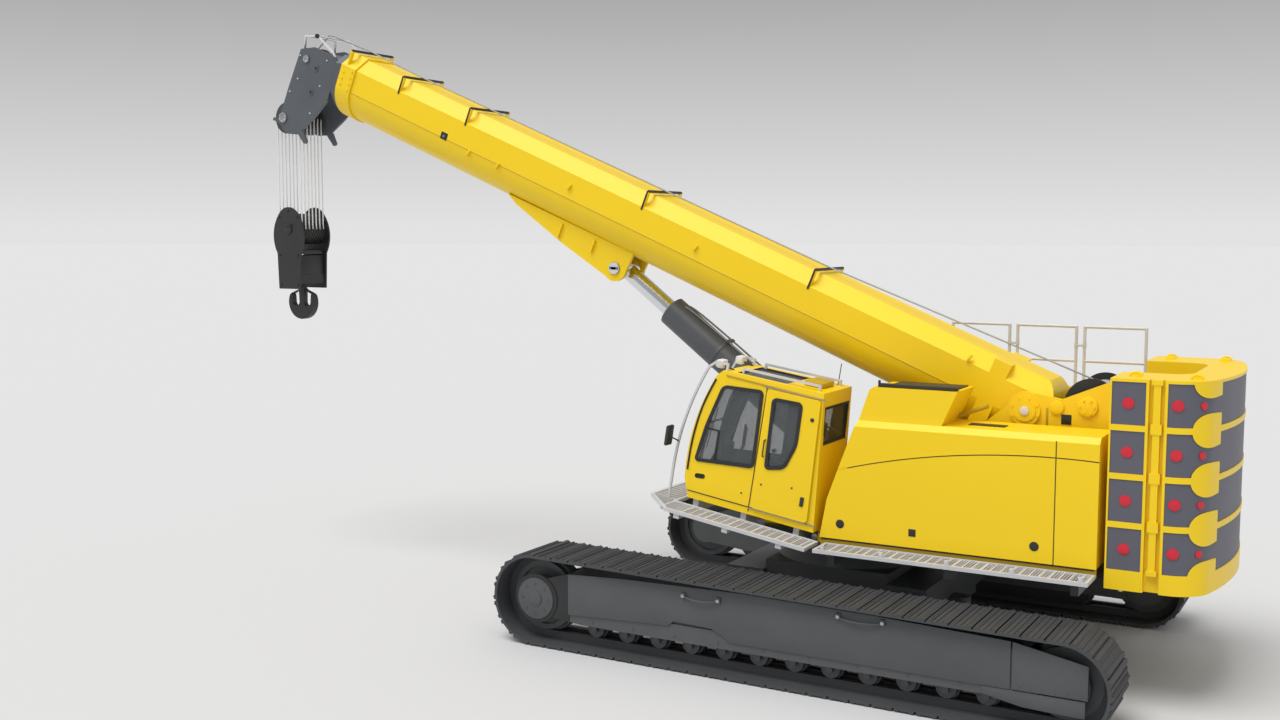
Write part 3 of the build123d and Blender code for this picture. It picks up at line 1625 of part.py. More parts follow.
with BuildPart() as platform:
    outer = walkway_outer + 70
    near = cab_side + 40
    far = cab_side - cab_width + 40
    rail_near = cab_side - rail_inset
    rail_far = far + 60
    tilt = radians(cab_tilt)
    floor_plane = Plane(
        origin=(hinge_x + 60 * sin(tilt), 0, hinge_z - 60 * cos(tilt)),
        x_dir=(cos(tilt), 0, sin(tilt)),
        z_dir=(-sin(tilt), 0, cos(tilt)),
    )
    # frame round the edge, then the bars of the grating
    with BuildSketch(floor_plane):
        with BuildLine():
            Polyline(
                (-100, near),
                (-100, outer),
                (cab_nose - 5, outer),
                (cab_nose + 445, near - 20),
                (cab_nose + 445, far),
                (cab_nose + 45, far),
                (cab_nose + 45, near),
                close=True,
            )
        make_face()
        with BuildLine():
            Polyline(
                (-100 + grating_border, near + grating_border),
                (-100 + grating_border, outer - grating_border),
                (cab_nose - 25, outer - grating_border),
                (cab_nose + 445 - grating_border, near - 36),
                (cab_nose + 445 - grating_border, far + grating_border),
                (cab_nose + 45 + grating_border, far + grating_border),
                (cab_nose + 45 + grating_border, near + grating_border),
                close=True,
            )
        make_face(mode=Mode.SUBTRACT)
    extrude(amount=walkway_thickness)
    side_bars = int((cab_nose - 60) / grating_pitch)
    with BuildSketch(floor_plane):
        for i in range(side_bars):
            with Locations((i * grating_pitch, (near + outer) / 2)):
                Rectangle(grating_bar, outer - near - grating_border)
        for i in range(1, 9):
            y = rail_far - rail_rod / 2 + i * (rail_near - rail_far) / 8
            with Locations((cab_nose + 245, y)):
                Rectangle(400 - grating_border, grating_bar)
        with Locations((cab_nose + 45 + grating_border / 2, (near + outer) / 2)):
            Rectangle(grating_bar, outer - near - 2 * grating_border)
    extrude(amount=walkway_thickness - 8)
    # bearers under the cab that carry the platform
    for a in (250, 1000, 1700):
        with BuildSketch(cab_plane(outer - 15)):
            with Locations((a, -55)):
                Rectangle(80, 65, align=(Align.CENTER, Align.MAX))
        extrude(amount=outer - 15 - cab_side + cab_width - 80)
        with BuildSketch(cab_plane(cab_side - 60)):
            with Locations((a, cab_floor_h - seat)):
                Rectangle(80, cab_floor_h - seat + 70, align=(Align.CENTER, Align.MAX))
        extrude(amount=cab_width - 140)
    # rails from the platform's front up over the windscreen to the roof
    rail_front = cab_nose + rail_clear
    for y in (rail_near, rail_far):
        with BuildSketch(cab_plane(y)):
            with BuildLine():
                Line((rail_front, -40), (rail_front, cab_nose_low + 60))
                ThreePointArc(
                    (rail_front, cab_nose_low + 60),
                    (rail_front - 70, cab_mid),
                    (rail_front - 310, cab_height),
                )
                Polyline(
                    (rail_front - 310, cab_height),
                    (rail_front - 400, cab_height + 80),
                    (rail_front - 570, cab_height + 80),
                    (rail_front - 570, cab_height + seat),
                )
            trace(line_width=rail_rod)
        extrude(amount=rail_rod)
    # rails along the roof
    for y in (rail_near - 60, rail_far + 60):
        with BuildSketch(cab_plane(y)):
            with BuildLine():
                Polyline(
                    (260, cab_height + seat),
                    (260, cab_height + 60),
                    (cab_nose - 560, cab_height + 60),
                    (cab_nose - 560, cab_height + seat),
                )
            trace(line_width=rail_rod)
        extrude(amount=rail_rod)
save(platform.part, "cab_platform")

with BuildPart() as seat_part:
    with BuildSketch(cab_plane(cab_side - 250)) as profile:
        with BuildLine():
            Polyline(
                (480, cab_floor_h + cab_wall),
                (880, cab_floor_h + cab_wall),
                (880, 360),
                (1010, 400),
                (1010, 520),
                (560, 500),
                (420, 1330),
                (300, 1320),
                (400, 400),
                (480, 360),
                close=True,
            )
        make_face()
        fillet(profile.vertices().group_by(Axis.Z)[1:], 25)
    extrude(amount=460)
save(seat_part.part, "cab_seat")

with BuildPart() as console:
    for face in (cab_side - 120, cab_side - 740):
        with BuildSketch(cab_plane(face)) as profile:
            with BuildLine():
                Polyline(
                    (480, cab_floor_h + cab_wall),
                    (1000, cab_floor_h + cab_wall),
                    (1120, 640),
                    (1080, 700),
                    (480, 620),
                    close=True,
                )
            make_face()
            fillet(profile.vertices().group_by(Axis.Z)[-1], 40)
        extrude(amount=110)
    with BuildSketch(cab_plane(cab_side - 300)):
        with BuildLine():
            Polyline(
                (1560, cab_floor_h + cab_wall),
                (1740, cab_floor_h + cab_wall),
                (1700, 560),
                (1600, 780),
                (1560, 780),
                close=True,
            )
        make_face()
    extrude(amount=380)
save(console.part, "cab_console")
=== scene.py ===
import math

import bmesh
import bpy
from mathutils import Matrix, Vector


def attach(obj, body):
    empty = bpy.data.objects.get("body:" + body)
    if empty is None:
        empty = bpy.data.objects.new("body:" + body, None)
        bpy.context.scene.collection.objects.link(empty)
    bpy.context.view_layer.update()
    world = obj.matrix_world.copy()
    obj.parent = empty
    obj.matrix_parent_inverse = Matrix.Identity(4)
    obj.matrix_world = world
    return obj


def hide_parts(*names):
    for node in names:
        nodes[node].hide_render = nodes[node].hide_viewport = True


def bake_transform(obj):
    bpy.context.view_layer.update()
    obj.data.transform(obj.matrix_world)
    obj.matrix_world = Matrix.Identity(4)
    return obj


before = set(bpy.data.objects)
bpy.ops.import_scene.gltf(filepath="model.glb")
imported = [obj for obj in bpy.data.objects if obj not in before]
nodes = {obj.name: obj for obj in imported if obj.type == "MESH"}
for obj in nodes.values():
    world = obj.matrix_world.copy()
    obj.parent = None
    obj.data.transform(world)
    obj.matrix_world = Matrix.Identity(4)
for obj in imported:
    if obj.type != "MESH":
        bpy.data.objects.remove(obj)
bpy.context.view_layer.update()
print("frame loaded:", len(nodes), "nodes")


def addObject(name, data):
    made = bpy.data.objects.new(name, data)
    bpy.context.scene.collection.objects.link(made)
    return made


cameraSettings = {
    "place": (-6.588, 17.297, 5.444),
    "yaw": 29.9,  # degrees away from straight across the crane
    "pitch": -5.483,
    "lens": 38.44,
    "sensorWidth": 36,
    "clipEnd": 500,
}


def setCamera(s):
    data = bpy.data.cameras.new("camera")
    data.lens = s["lens"]
    data.sensor_width = s["sensorWidth"]
    data.clip_end = s["clipEnd"]
    yaw, pitch = math.radians(s["yaw"]), math.radians(s["pitch"])
    forward = Vector(
        (math.sin(yaw) * math.cos(pitch), -math.cos(yaw) * math.cos(pitch), math.sin(pitch))
    )
    cam = addObject("camera", data)
    cam.location = s["place"]
    cam.rotation_euler = forward.to_track_quat("-Z", "Y").to_euler()
    bpy.context.scene.camera = cam


setCamera(cameraSettings)
print("camera set")


def newGroup(name, inputs, outputs):
    group = bpy.data.node_groups.new(name, "ShaderNodeTree")
    for label, value in inputs.items():
        kind = "NodeSocketColor" if isinstance(value, tuple) else "NodeSocketFloat"
        socket = group.interface.new_socket(label, in_out="INPUT", socket_type=kind)
        socket.default_value = value
    for label, kind in outputs.items():
        group.interface.new_socket(label, in_out="OUTPUT", socket_type="NodeSocket" + kind)
    return group, group.nodes.new("NodeGroupInput"), group.nodes.new("NodeGroupOutput")


def feed(tree, socket, value):
    if hasattr(value, "links"):
        tree.links.new(value, socket)
    else:
        socket.default_value = value


def mathNode(tree, operation, a, b, clamp=False):
    node = tree.nodes.new("ShaderNodeMath")
    node.operation = operation
    node.use_clamp = clamp
    feed(tree, node.inputs[0], a)
    feed(tree, node.inputs[1], b)
    return node.outputs[0]


def mixColour(tree, factor, a, b):
    node = tree.nodes.new("ShaderNodeMix")
    node.data_type = "RGBA"
    for index, value in ((0, factor), (6, a), (7, b)):  # the colour sockets of this node
        feed(tree, node.inputs[index], value)
    return node.outputs[2]


def noiseNode(tree, vector, scale, detail):
    node = tree.nodes.new("ShaderNodeTexNoise")
    node.inputs["Scale"].default_value = scale
    node.inputs["Detail"].default_value = detail
    tree.links.new(vector, node.inputs["Vector"])
    return node.outputs["Fac"]


variationSettings = {
    "inputs": {
        "Colour": (0.5, 0.5, 0.5, 1), "Dust Colour": (0.35, 0.33, 0.3, 1), "Dust": 0.1,
        "Mottle": 0.05, "Roughness": 0.4, "Scale": 1.0,
    },
    "outputs": {"Colour": "Color", "Roughness": "Float", "Height": "Float"},
    "broad": (1.3, 4),  # scale and detail
    "fine": (42, 3),
    "dustPower": 3.0,
    "roughnessSwing": 0.16,
    "dustRoughness": 0.5,
}


def surfaceVariation(s):
    group, gin, gout = newGroup("surfaceVariation", s["inputs"], s["outputs"])
    links, given, result = group.links, gin.outputs, gout.inputs
    coords = group.nodes.new("ShaderNodeTexCoord")
    scaled = group.nodes.new("ShaderNodeVectorMath")
    scaled.operation = "SCALE"
    links.new(coords.outputs["Object"], scaled.inputs[0])
    links.new(given["Scale"], scaled.inputs["Scale"])
    broad = noiseNode(group, scaled.outputs[0], *s["broad"])
    fine = noiseNode(group, scaled.outputs[0], *s["fine"])
    swing = mathNode(group, "SUBTRACT", broad, 0.5)
    shade = mathNode(group, "MULTIPLY", swing, given["Mottle"])
    value = group.nodes.new("ShaderNodeHueSaturation")
    links.new(mathNode(group, "ADD", shade, 1.0), value.inputs["Value"])
    links.new(given["Colour"], value.inputs["Color"])
    patches = mathNode(group, "POWER", broad, s["dustPower"])
    dusty = mathNode(group, "MULTIPLY", patches, given["Dust"], True)
    mixed = mixColour(group, dusty, value.outputs[0], given["Dust Colour"])
    links.new(mixed, result["Colour"])
    uneven = mathNode(group, "MULTIPLY", swing, s["roughnessSwing"])
    rough = mathNode(group, "ADD", given["Roughness"], uneven)
    dull = mathNode(group, "MULTIPLY", dusty, s["dustRoughness"])
    links.new(mathNode(group, "ADD", rough, dull, True), result["Roughness"])
    links.new(fine, result["Height"])
    return group


variation = surfaceVariation(variationSettings)

paintDefaults = {
    "roughness": 0.45,
    "dust": 0.08,
    "mottle": 0.2,
    "scale": 1.0,
    "metallic": 0.0,
    "coat": 0.0,
    "coatRoughness": 0.15,
    "specular": 0.5,
    "bump": 0.05,
    "bumpDepth": 0.004,
}


def setInputs(node, values):
    for label, value in values.items():
        node.inputs[label].default_value = value


def emptyMaterial(name):
    mat = bpy.data.materials.new(name)
    mat.use_nodes = True
    return mat, mat.node_tree, mat.node_tree.nodes["Principled BSDF"]


def newMaterial(name, given):
    s = {**paintDefaults, **given}
    mat, tree, shader = emptyMaterial(name)
    group = tree.nodes.new("ShaderNodeGroup")
    group.node_tree = variation
    setInputs(group, {"Colour": (*s["colour"], 1), "Dust": s["dust"], "Mottle": s["mottle"],
                      "Roughness": s["roughness"], "Scale": s["scale"]})
    tree.links.new(group.outputs["Colour"], shader.inputs["Base Color"])
    tree.links.new(group.outputs["Roughness"], shader.inputs["Roughness"])
    setInputs(shader, {"Metallic": s["metallic"], "Coat Weight": s["coat"],
                       "Coat Roughness": s["coatRoughness"], "Specular IOR Level": s["specular"]})
    bump = tree.nodes.new("ShaderNodeBump")
    setInputs(bump, {"Strength": s["bump"], "Distance": s["bumpDepth"]})
    tree.links.new(group.outputs["Height"], bump.inputs["Height"])
    tree.links.new(bump.outputs[0], shader.inputs["Normal"])
    return mat


paints = {  # what differs from the defaults
    "yellow": {
        "colour": (0.9, 0.615, 0.006), "roughness": 0.42, "dust": 0.03, "mottle": 0.05,
        "coat": 0.12, "specular": 0.3, "bump": 0.02,
    },
    "darkYellow": {"colour": (0.5, 0.33, 0.01), "roughness": 0.5, "mottle": 0.1, "bump": 0.03},
    "darkGrey": {"colour": (0.07, 0.075, 0.08), "roughness": 0.5, "dust": 0.12, "bump": 0.06},
    "track": {
        "colour": (0.062, 0.064, 0.068), "roughness": 0.55, "dust": 0.04, "specular": 0.2,
        "bump": 0.15,
    },
    "black": {"colour": (0.018, 0.018, 0.02), "dust": 0.06, "bump": 0.04},
    "headGrey": {"colour": (0.085, 0.095, 0.11)},
    "panelGrey": {
        "colour": (0.09, 0.095, 0.1), "roughness": 0.42, "dust": 0.04, "mottle": 0.1, "bump": 0.02,
    },
    "lightGrey": {"colour": (0.68, 0.68, 0.7), "dust": 0.04, "mottle": 0.1, "bump": 0.04},
    "galvanised": {
        "colour": (0.6, 0.6, 0.62), "dust": 0.04, "mottle": 0.25, "scale": 3, "metallic": 0.15,
    },
    "chrome": {
        "colour": (0.75, 0.76, 0.78), "roughness": 0.12, "dust": 0.02, "mottle": 0.05,
        "metallic": 1.0, "bump": 0.01,
    },
    "barrelGrey": {
        "colour": (0.075, 0.08, 0.09), "roughness": 0.42, "dust": 0.05, "mottle": 0.15,
        "bump": 0.03,
    },
    "sheave": {"colour": (0.1, 0.1, 0.105), "roughness": 0.4, "dust": 0.1, "metallic": 0.6},
    "rope": {
        "colour": (0.38, 0.38, 0.39), "dust": 0.1, "mottle": 0.3, "scale": 8, "metallic": 0.4,
        "bump": 0.4,
    },
    # painted shade: the dark yellow given to the walls of the hood's seam and curved groove
    "grooveShade": {
        "colour": (0.13, 0.08, 0.008), "roughness": 0.6, "dust": 0.1, "mottle": 0.15, "scale": 3,
    },
    "falls": {
        "colour": (0.8, 0.8, 0.81), "roughness": 0.4, "dust": 0.05, "mottle": 0.35, "scale": 8,
        "bump": 0.4,
    },
    "lining": {
        "colour": (0.05, 0.052, 0.055), "roughness": 0.75, "dust": 0.05, "scale": 5, "bump": 0.3,
    },
    "fabric": {
        "colour": (0.02, 0.02, 0.022), "roughness": 0.85, "dust": 0.05, "mottle": 0.3, "scale": 6,
        "bump": 0.4,
    },
    "plastic": {
        "colour": (0.025, 0.025, 0.028), "roughness": 0.5, "mottle": 0.15, "scale": 4,
        "bump": 0.15,
    },
    "red": {
        "colour": (0.6, 0.012, 0.03), "roughness": 0.3, "dust": 0.02, "mottle": 0.05, "scale": 6,
    },
    "slate": {
        "colour": (0.1, 0.1, 0.13), "roughness": 0.5, "dust": 0.06, "mottle": 0.12, "bump": 0.04,
    },
    "rubber": {"colour": (0.02, 0.02, 0.022), "roughness": 0.7, "scale": 5, "bump": 0.1},
    "white": {
        "colour": (0.75, 0.75, 0.74), "roughness": 0.35, "dust": 0.06, "mottle": 0.06, "scale": 4,
        "bump": 0.02,
    },
    "lampGlass": {
        "colour": (0.7, 0.72, 0.75), "roughness": 0.1, "dust": 0.02, "mottle": 0.15, "scale": 9,
        "coat": 0.6,
    },
    "bareSteel": {"colour": (0.42, 0.42, 0.43), "roughness": 0.35, "metallic": 0.9},
    "ringSteel": {"colour": (0.16, 0.16, 0.165), "roughness": 0.4, "dust": 0.1, "metallic": 0.7},
}
materials = {name: newMaterial(name, s) for name, s in paints.items()}

glass = {
    "colour": (0.1, 0.115, 0.12),
    "lighter": 1.25,  # how much the lightest patches gain
    "noiseScale": 2.5,
    "alpha": 0.36,
    "roughness": 0.04,
    "coat": 0.5,
}


def newGlass(name, s):
    mat, tree, shader = emptyMaterial(name)
    noise = tree.nodes.new("ShaderNodeTexNoise")
    coords = tree.nodes.new("ShaderNodeTexCoord")
    noise.inputs["Scale"].default_value = s["noiseScale"]
    tree.links.new(coords.outputs["Object"], noise.inputs["Vector"])
    ramp = tree.nodes.new("ShaderNodeValToRGB")
    ramp.color_ramp.elements[0].color = (*s["colour"], 1)
    ramp.color_ramp.elements[1].color = (*[c * s["lighter"] for c in s["colour"]], 1)
    tree.links.new(noise.outputs["Fac"], ramp.inputs[0])
    tree.links.new(ramp.outputs[0], shader.inputs["Base Color"])
    setInputs(shader, {"Roughness": s["roughness"], "Alpha": s["alpha"], "Coat Weight": s["coat"]})
    mat.surface_render_method = "BLENDED"
    return mat


materials["glass"] = newGlass("glass", glass)
print("materials made:", len(materials))

nodeFinish = {
    "yellow": (
        "left_hood right_hood left_hood_tower counterweight_base counterweight_slab_1 "
        "counterweight_slab_2 counterweight_slab_3 counterweight_slab_4 boom_base "
        "boom_plates cab_shell cab_door boom_pivot_pin"
    ),
    "headGrey": "boom_tip boom_section_2 boom_section_3",
    "darkGrey": (
        "left_idler left_sprocket left_side_frame left_rollers right_idler right_sprocket "
        "right_side_frame right_rollers carbody"
    ),
    "track": "left_track right_track",
    "ringSteel": "slew_ring",
    "bareSteel": "cab_hinge_pin",
    "black": "upper_frame cylinder_ears hoist_winch counterweight_carrier engine hook_block hook",
    "galvanised": "left_walkway right_walkway handrails cab_platform",
    "sheave": "head_sheaves top_sheave block_sheaves",
    "chrome": "luff_rod",
    "barrelGrey": "luff_barrel",
    "falls": "hoist_ropes",
    "glass": "cab_side_glass windscreen door_glass",
    "fabric": "cab_seat",
    "plastic": "cab_console",
}
for finish, names in nodeFinish.items():
    for name in names.split():
        mesh = nodes[name].data
        mesh.materials.clear()
        mesh.materials.append(materials[finish])
        for polygon in mesh.polygons:
            polygon.material_index = 0


def paintWhere(name, finish, test):
    mesh = nodes[name].data
    mesh.materials.append(materials[finish])
    slot = len(mesh.materials) - 1
    for polygon in mesh.polygons:
        if test(polygon.center, polygon.normal):
            polygon.material_index = slot


def place(origin, angle):
    turn = math.radians(angle)
    c, s = math.cos(turn), math.sin(turn)
    x, y, z = origin
    return Matrix(((c, 0, -s, x), (0, 1, 0, y), (s, 0, c, z), (0, 0, 0, 1)))


boomPlace = place((-2.42, 0, 3.24), 22.7)
cabPlace = place((-0.06, 0, 1.59), 9.0)
boomBack = boomPlace.inverted()
cabBack = cabPlace.inverted()

ropeSupports = {
    "stations": (3.25, 6.0, 9.33, 10.72, 11.85),
    "reach": 0.045,  # along the boom, each way
    "collar": 11.5,  # beyond this station a support stands on the collar
    "collarTop": 0.435,
    "boomTop": 0.408,
    "legSide": 0.502,
    "legFoot": 0.15,
}


def onSupport(centre, normal):
    s = ropeSupports
    p = boomBack @ centre
    near = [station for station in s["stations"] if abs(p.x - station) < s["reach"]]
    if not near:
        return False
    if near[0] > s["collar"]:
        return p.z > s["collarTop"]
    return p.z > s["boomTop"] or (abs(p.y) > s["legSide"] and p.z > s["legFoot"])


recesses = {
    "side": 1.535,
    "radius": 4.8,
    "corner": 0.42,
    "cornerX": -4.2357,
    "front": -3.59,
    "grooveX": -4.08,
    "grooveHalf": 0.1,
    "levelFace": 0.3,  # faces that look up or down more than this stay as they are
    "deep": (0.004, 0.03),
}


def inRecess(centre, normal):
    s = recesses
    x, y = centre.x, abs(centre.y)
    if abs(normal.z) > s["levelFace"] or x > s["front"]:
        return False
    if abs(x - s["grooveX"]) < s["grooveHalf"]:
        return False
    straight = s["side"] - s["corner"]
    if x < s["cornerX"] and y * s["cornerX"] < x * straight:
        deep = s["corner"] - math.hypot(x - s["cornerX"], y - straight)
    else:
        deep = min(s["side"] - y, s["radius"] - math.hypot(x, y))
    return s["deep"][0] < deep < s["deep"][1]


cabLining = {"centre": (0.95, 1.14, 1.0), "facing": -0.12}  # in the cab's own frame


def insideCab(centre, normal):
    out = cabBack @ centre - Vector(cabLining["centre"])
    facing = cabBack.to_3x3() @ normal
    return facing.dot(out) < cabLining["facing"] * out.length


# where the walls of the hood's seam and curved groove are painted dark yellow as shade
hoodSeams = {
    "side": 1.573,
    "depth": (0.0008, 0.0065),
    "upright": -3.02,
    "uprightHalf": 0.02,
    "curve": (2.4, 2.86),
    "curveFront": -0.5,
}


def inSeam(centre, normal):
    s = hoodSeams
    if not s["depth"][0] < s["side"] - abs(centre.y) < s["depth"][1]:
        return False
    low, high = s["curve"]
    onCurve = low < centre.z < high and centre.x < s["curveFront"]
    return abs(centre.x - s["upright"]) < s["uprightHalf"] or onCurve


# the yellow skirt under the hoods, set back in shadow: painted shade in dark yellow
shadedSkirt = {"foot": 1.5, "sides": (1.45, 1.56), "front": -0.1}


def onShadedSkirt(centre, normal):
    s = shadedSkirt
    low, high = s["sides"]
    return centre.z > s["foot"] and low < abs(centre.y) < high and centre.x < s["front"]


tipGuard = 0.245  # height over the boom's axis from which the tip is light grey

paintWhere("boom_base", "black", onSupport)
for level in (1, 2, 3, 4):
    paintWhere("counterweight_slab_%d" % level, "slate", inRecess)
# painted shade: the skirt under the hoods is painted dark yellow
paintWhere("upper_frame", "darkYellow", onShadedSkirt)
paintWhere("boom_tip", "lightGrey", lambda centre, normal: (boomBack @ centre).z > tipGuard)
# painted shade in the hood's upright seam and curved groove
for name in ("left_hood", "right_hood"):
    paintWhere(name, "grooveShade", inSeam)
for name in ("cab_shell", "cab_door"):
    paintWhere(name, "lining", insideCab)
print("finishes given to the frame")

sides = {"left": 1, "right": -1}
sharpAngle = math.radians(35)


def newPiece(name, bm, finishes, body, matrix=None, smooth=True):
    if matrix is not None:
        bm.transform(matrix)
    mesh = bpy.data.meshes.new(name)
    bm.to_mesh(mesh)
    bm.free()
    for finish in finishes:
        mesh.materials.append(materials[finish])
    piece = addObject(name, mesh)
    if smooth:
        mesh.shade_smooth()
        mesh.set_sharp_from_angle(angle=sharpAngle)
    if body:
        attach(piece, body)
    return piece


def join(bm, part, matrix=None, slot=0):
    for face in part.faces:
        face.material_index = slot
    if matrix is not None:
        part.transform(matrix)
    mesh = bpy.data.meshes.new("joining")
    part.to_mesh(mesh)
    part.free()
    bm.from_mesh(mesh)
    bpy.data.meshes.remove(mesh)


def at(x, y, z, turn=0.0):
    return Matrix.Translation((x, y, z)) @ Matrix.Rotation(math.radians(turn), 4, "Y")


def bevelParts(bm, parts, offset, segments, affect):
    bmesh.ops.bevel(bm, geom=parts, offset=offset, offset_type="OFFSET", segments=segments,
                    profile=0.5, affect=affect, material=-1)


def block(size, edge=0.0):
    bm = bmesh.new()
    bmesh.ops.create_cube(bm, size=1)
    bmesh.ops.scale(bm, vec=size, verts=bm.verts)
    if edge:
        bevelParts(bm, bm.edges[:], edge, 2, "EDGES")
    return bm


def turned(bm, angle, axis):
    bmesh.ops.rotate(bm, verts=bm.verts, matrix=Matrix.Rotation(math.radians(angle), 3, axis))
    return bm


def disc(radius, depth, edge=0.0, sides=24):
    bm = bmesh.new()  # its axis runs across the crane
    bmesh.ops.create_cone(bm, cap_ends=True, segments=sides, radius1=radius, radius2=radius,
                          depth=depth)
    if edge:
        rims = [e for e in bm.edges if abs(e.verts[0].co.z - e.verts[1].co.z) < 1e-6]
        bevelParts(bm, rims, edge, 2, "EDGES")
    return turned(bm, 90, "X")


def thicken(bm, depth):
    made = bmesh.ops.extrude_face_region(bm, geom=bm.faces[:])["geom"]
    moved = [v for v in made if isinstance(v, bmesh.types.BMVert)]
    bmesh.ops.translate(bm, vec=(0, depth, 0), verts=moved)
    bmesh.ops.recalc_face_normals(bm, faces=bm.faces)


def panel(outline, depth, edge):
    bm = bmesh.new()  # outline as x, z, centred on y
    bm.faces.new([bm.verts.new((x, -depth / 2, z)) for x, z in outline])
    thicken(bm, depth)
    bevelParts(bm, bm.edges[:], edge, 2, "EDGES")
    return bm


def gasket(outline, s):
    bm = bmesh.new()
    xs, zs = [p[0] for p in outline], [p[1] for p in outline]
    middle = Vector(((min(xs) + max(xs)) / 2, 0, (min(zs) + max(zs)) / 2))
    bm.faces.new([bm.verts.new((x, 0, z)) for x, z in outline])
    grow = 2 * s["overlap"]
    larger = (1 + grow / (max(xs) - min(xs)), 1, 1 + grow / (max(zs) - min(zs)))
    bmesh.ops.scale(bm, vec=larger, verts=bm.verts, space=Matrix.Translation(-middle))
    bevelParts(bm, bm.verts[:], s["corner"], 4, "VERTICES")
    ring = bmesh.ops.inset_region(bm, faces=bm.faces[:], thickness=s["width"],
                                  use_boundary=True, use_even_offset=True)["faces"]
    bmesh.ops.delete(bm, geom=[f for f in bm.faces if f not in ring], context="FACES")
    thicken(bm, s["depth"])
    return bm


def rod(points, radius, smooth=False):
    curve = bpy.data.curves.new("rod", "CURVE")
    curve.dimensions = "3D"
    curve.bevel_depth = radius
    curve.bevel_resolution = 3
    curve.use_fill_caps = True
    spline = curve.splines.new("NURBS" if smooth else "POLY")
    spline.points.add(len(points) - 1)
    for point, spot in zip(spline.points, points):
        point.co = (*spot, 1)
    if smooth:
        spline.order_u = 3
        spline.use_endpoint_u = True
        spline.resolution_u = 8
    holder = bpy.data.objects.new("rod", curve)
    mesh = bpy.data.meshes.new_from_object(holder)
    bm = bmesh.new()
    bm.from_mesh(mesh)
    bpy.data.objects.remove(holder)
    bpy.data.curves.remove(curve)
    bpy.data.meshes.remove(mesh)
    return bm


def boltCircle(bm, centre, radius, bolt, count, start=0, slot=0):
    x, y, z = centre
    for i in range(count):
        turn = math.radians(360 / count * i + start)
        spot = at(x + radius * math.cos(turn), y, z + radius * math.sin(turn))
        join(bm, disc(*bolt), spot, slot)


# blocks: size, edge, place, slot and a turn; discs: shape, place, slot; rods: points, radius,
# slot and whether smooth; a place's second number counts outwards from the face
def addParts(bm, s, face=0.0, side=1, middle=0.0):
    for size, edge, (x, out, z), slot, *turn in s.get("blocks", ()):
        join(bm, block(size, edge), at(x, middle + side * (face + out), z, *turn), slot)
    for shape, (x, out, z), slot in s.get("discs", ()):
        join(bm, disc(*shape), at(x, middle + side * (face + out), z), slot)
    for points, radius, slot, *smooth in s.get("rods", ()):
        line = [(x, middle + side * (face + out), z) for x, out, z in points]
        join(bm, rod(line, radius, *smooth), None, slot)


# the cab's trim; slots are rubber, plastic, dark yellow, white and lamp glass
cabTrim = {
    "side": 1.612,
    "middle": 1.14,
    "gasket": {"overlap": 0.014, "width": 0.045, "corner": 0.07, "depth": 0.014},
    "nearGasket": 1.61,
    "farGasket": 0.656,
    "sideWindow": (
        (1.773, 0.573), (1.684, 1.079), (1.527, 1.624), (0.965, 1.675), (0.94, 0.675)
    ),
    "farWindow": ((0.8, 0.7), (0.8, 1.64), (0.33, 1.64), (0.33, 0.9)),
    "onSide": {
        "blocks": (
            ((0.22, 0.012, 0.024), 0.004, (1.6, -0.006, 1.03), 0),  # sliding sash
            ((0.026, 0.012, 0.42), 0.004, (1.5, -0.006, 0.82), 0),
            ((0.13, 0.006, 0.05), 0.02, (1.67, -0.014, 0.381), 1, 6),  # hollow of the handhold
            ((0.05, 0.16, 0.27), 0.02, (2.14, 0.12, 0.84), 1),  # mirror
            ((1.7, 0.008, 0.012), 0.002, (0.97, 0.001, 0.155), 1),  # seam over the sill
        ),
        "discs": (((0.012, 0.008, 0.002, 12), (1.05, 0.002, 0.31), 1),),  # plug
        "rods": (
            (((1.862, 0.002, 0.43), (1.866, 0.002, 0.7), (1.828, 0.002, 1.06),
              (1.756, 0.002, 1.4), (1.64, 0.002, 1.69)), 0.013, 0, True),  # by the front pillar
            (((0.16, 0.002, 1.745), (1.5, 0.002, 1.77)), 0.012, 2),  # drip rail
            (((0.92, 0, 0.1), (0.915, 0, 1.75)), 0.006, 1),  # seam by the door
            (((2.07, -0.06, 0.75), (2.13, 0.1, 0.82)), 0.01, 1),  # mirror's arm
        ),
    },
    "onMiddle": {
        "blocks": (
            ((0.03, 0.8, 0.035), 0.006, (0.116, 0, 1.165), 0),  # rear window's rubber
            ((0.03, 0.8, 0.035), 0.006, (0.14, 0, 1.625), 0),
            ((0.26, 0.4, 0.07), 0.02, (0.42, 0, 1.855), 2),  # box on the roof
        ),
        "discs": (((0.03, 0.03, 0.006, 16), (1.895, 0.1, 0.46), 1),),  # wiper's hub
        "rods": (
            (((1.883, -0.4, 0.41), (1.883, 0.4, 0.41)), 0.019, 0),  # windscreen's rubber
            (((1.672, -0.4, 1.672), (1.672, 0.4, 1.672)), 0.019, 0),
            (((1.872, -0.39, 1.0), (1.872, 0.39, 1.0)), 0.014, 0),  # and its bar
            (((1.9, 0.1, 0.46), (1.89, -0.14, 1.0)), 0.009, 1),  # wiper
            (((1.908, -0.1, 0.62), (1.868, -0.2, 1.18)), 0.008, 1),
            (((0.3, -0.36, 1.82), (0.3, -0.36, 2.1)), 0.006, 1),  # aerial
        ),
    },
    "lampsAt": (-0.3, 0.28),
    "lamp": {
        "blocks": (
            ((0.1, 0.16, 0.11), 0.02, (1.68, 0, 1.87), 3),
            ((0.012, 0.13, 0.08), 0.005, (1.736, 0, 1.87), 4),
        ),
        "rods": ((((1.5, 0, 1.82), (1.66, 0, 1.85)), 0.015, 1),),
    },
    "bothSides": {
        "rods": (
            (((0.114, 0.385, 1.16), (0.142, 0.385, 1.63)), 0.018, 0),
            (((1.878, 0.4, 0.41), (1.886, 0.4, 0.7), (1.85, 0.4, 1.06), (1.78, 0.4, 1.4),
              (1.67, 0.4, 1.67)), 0.019, 0, True),
        ),
    },
}


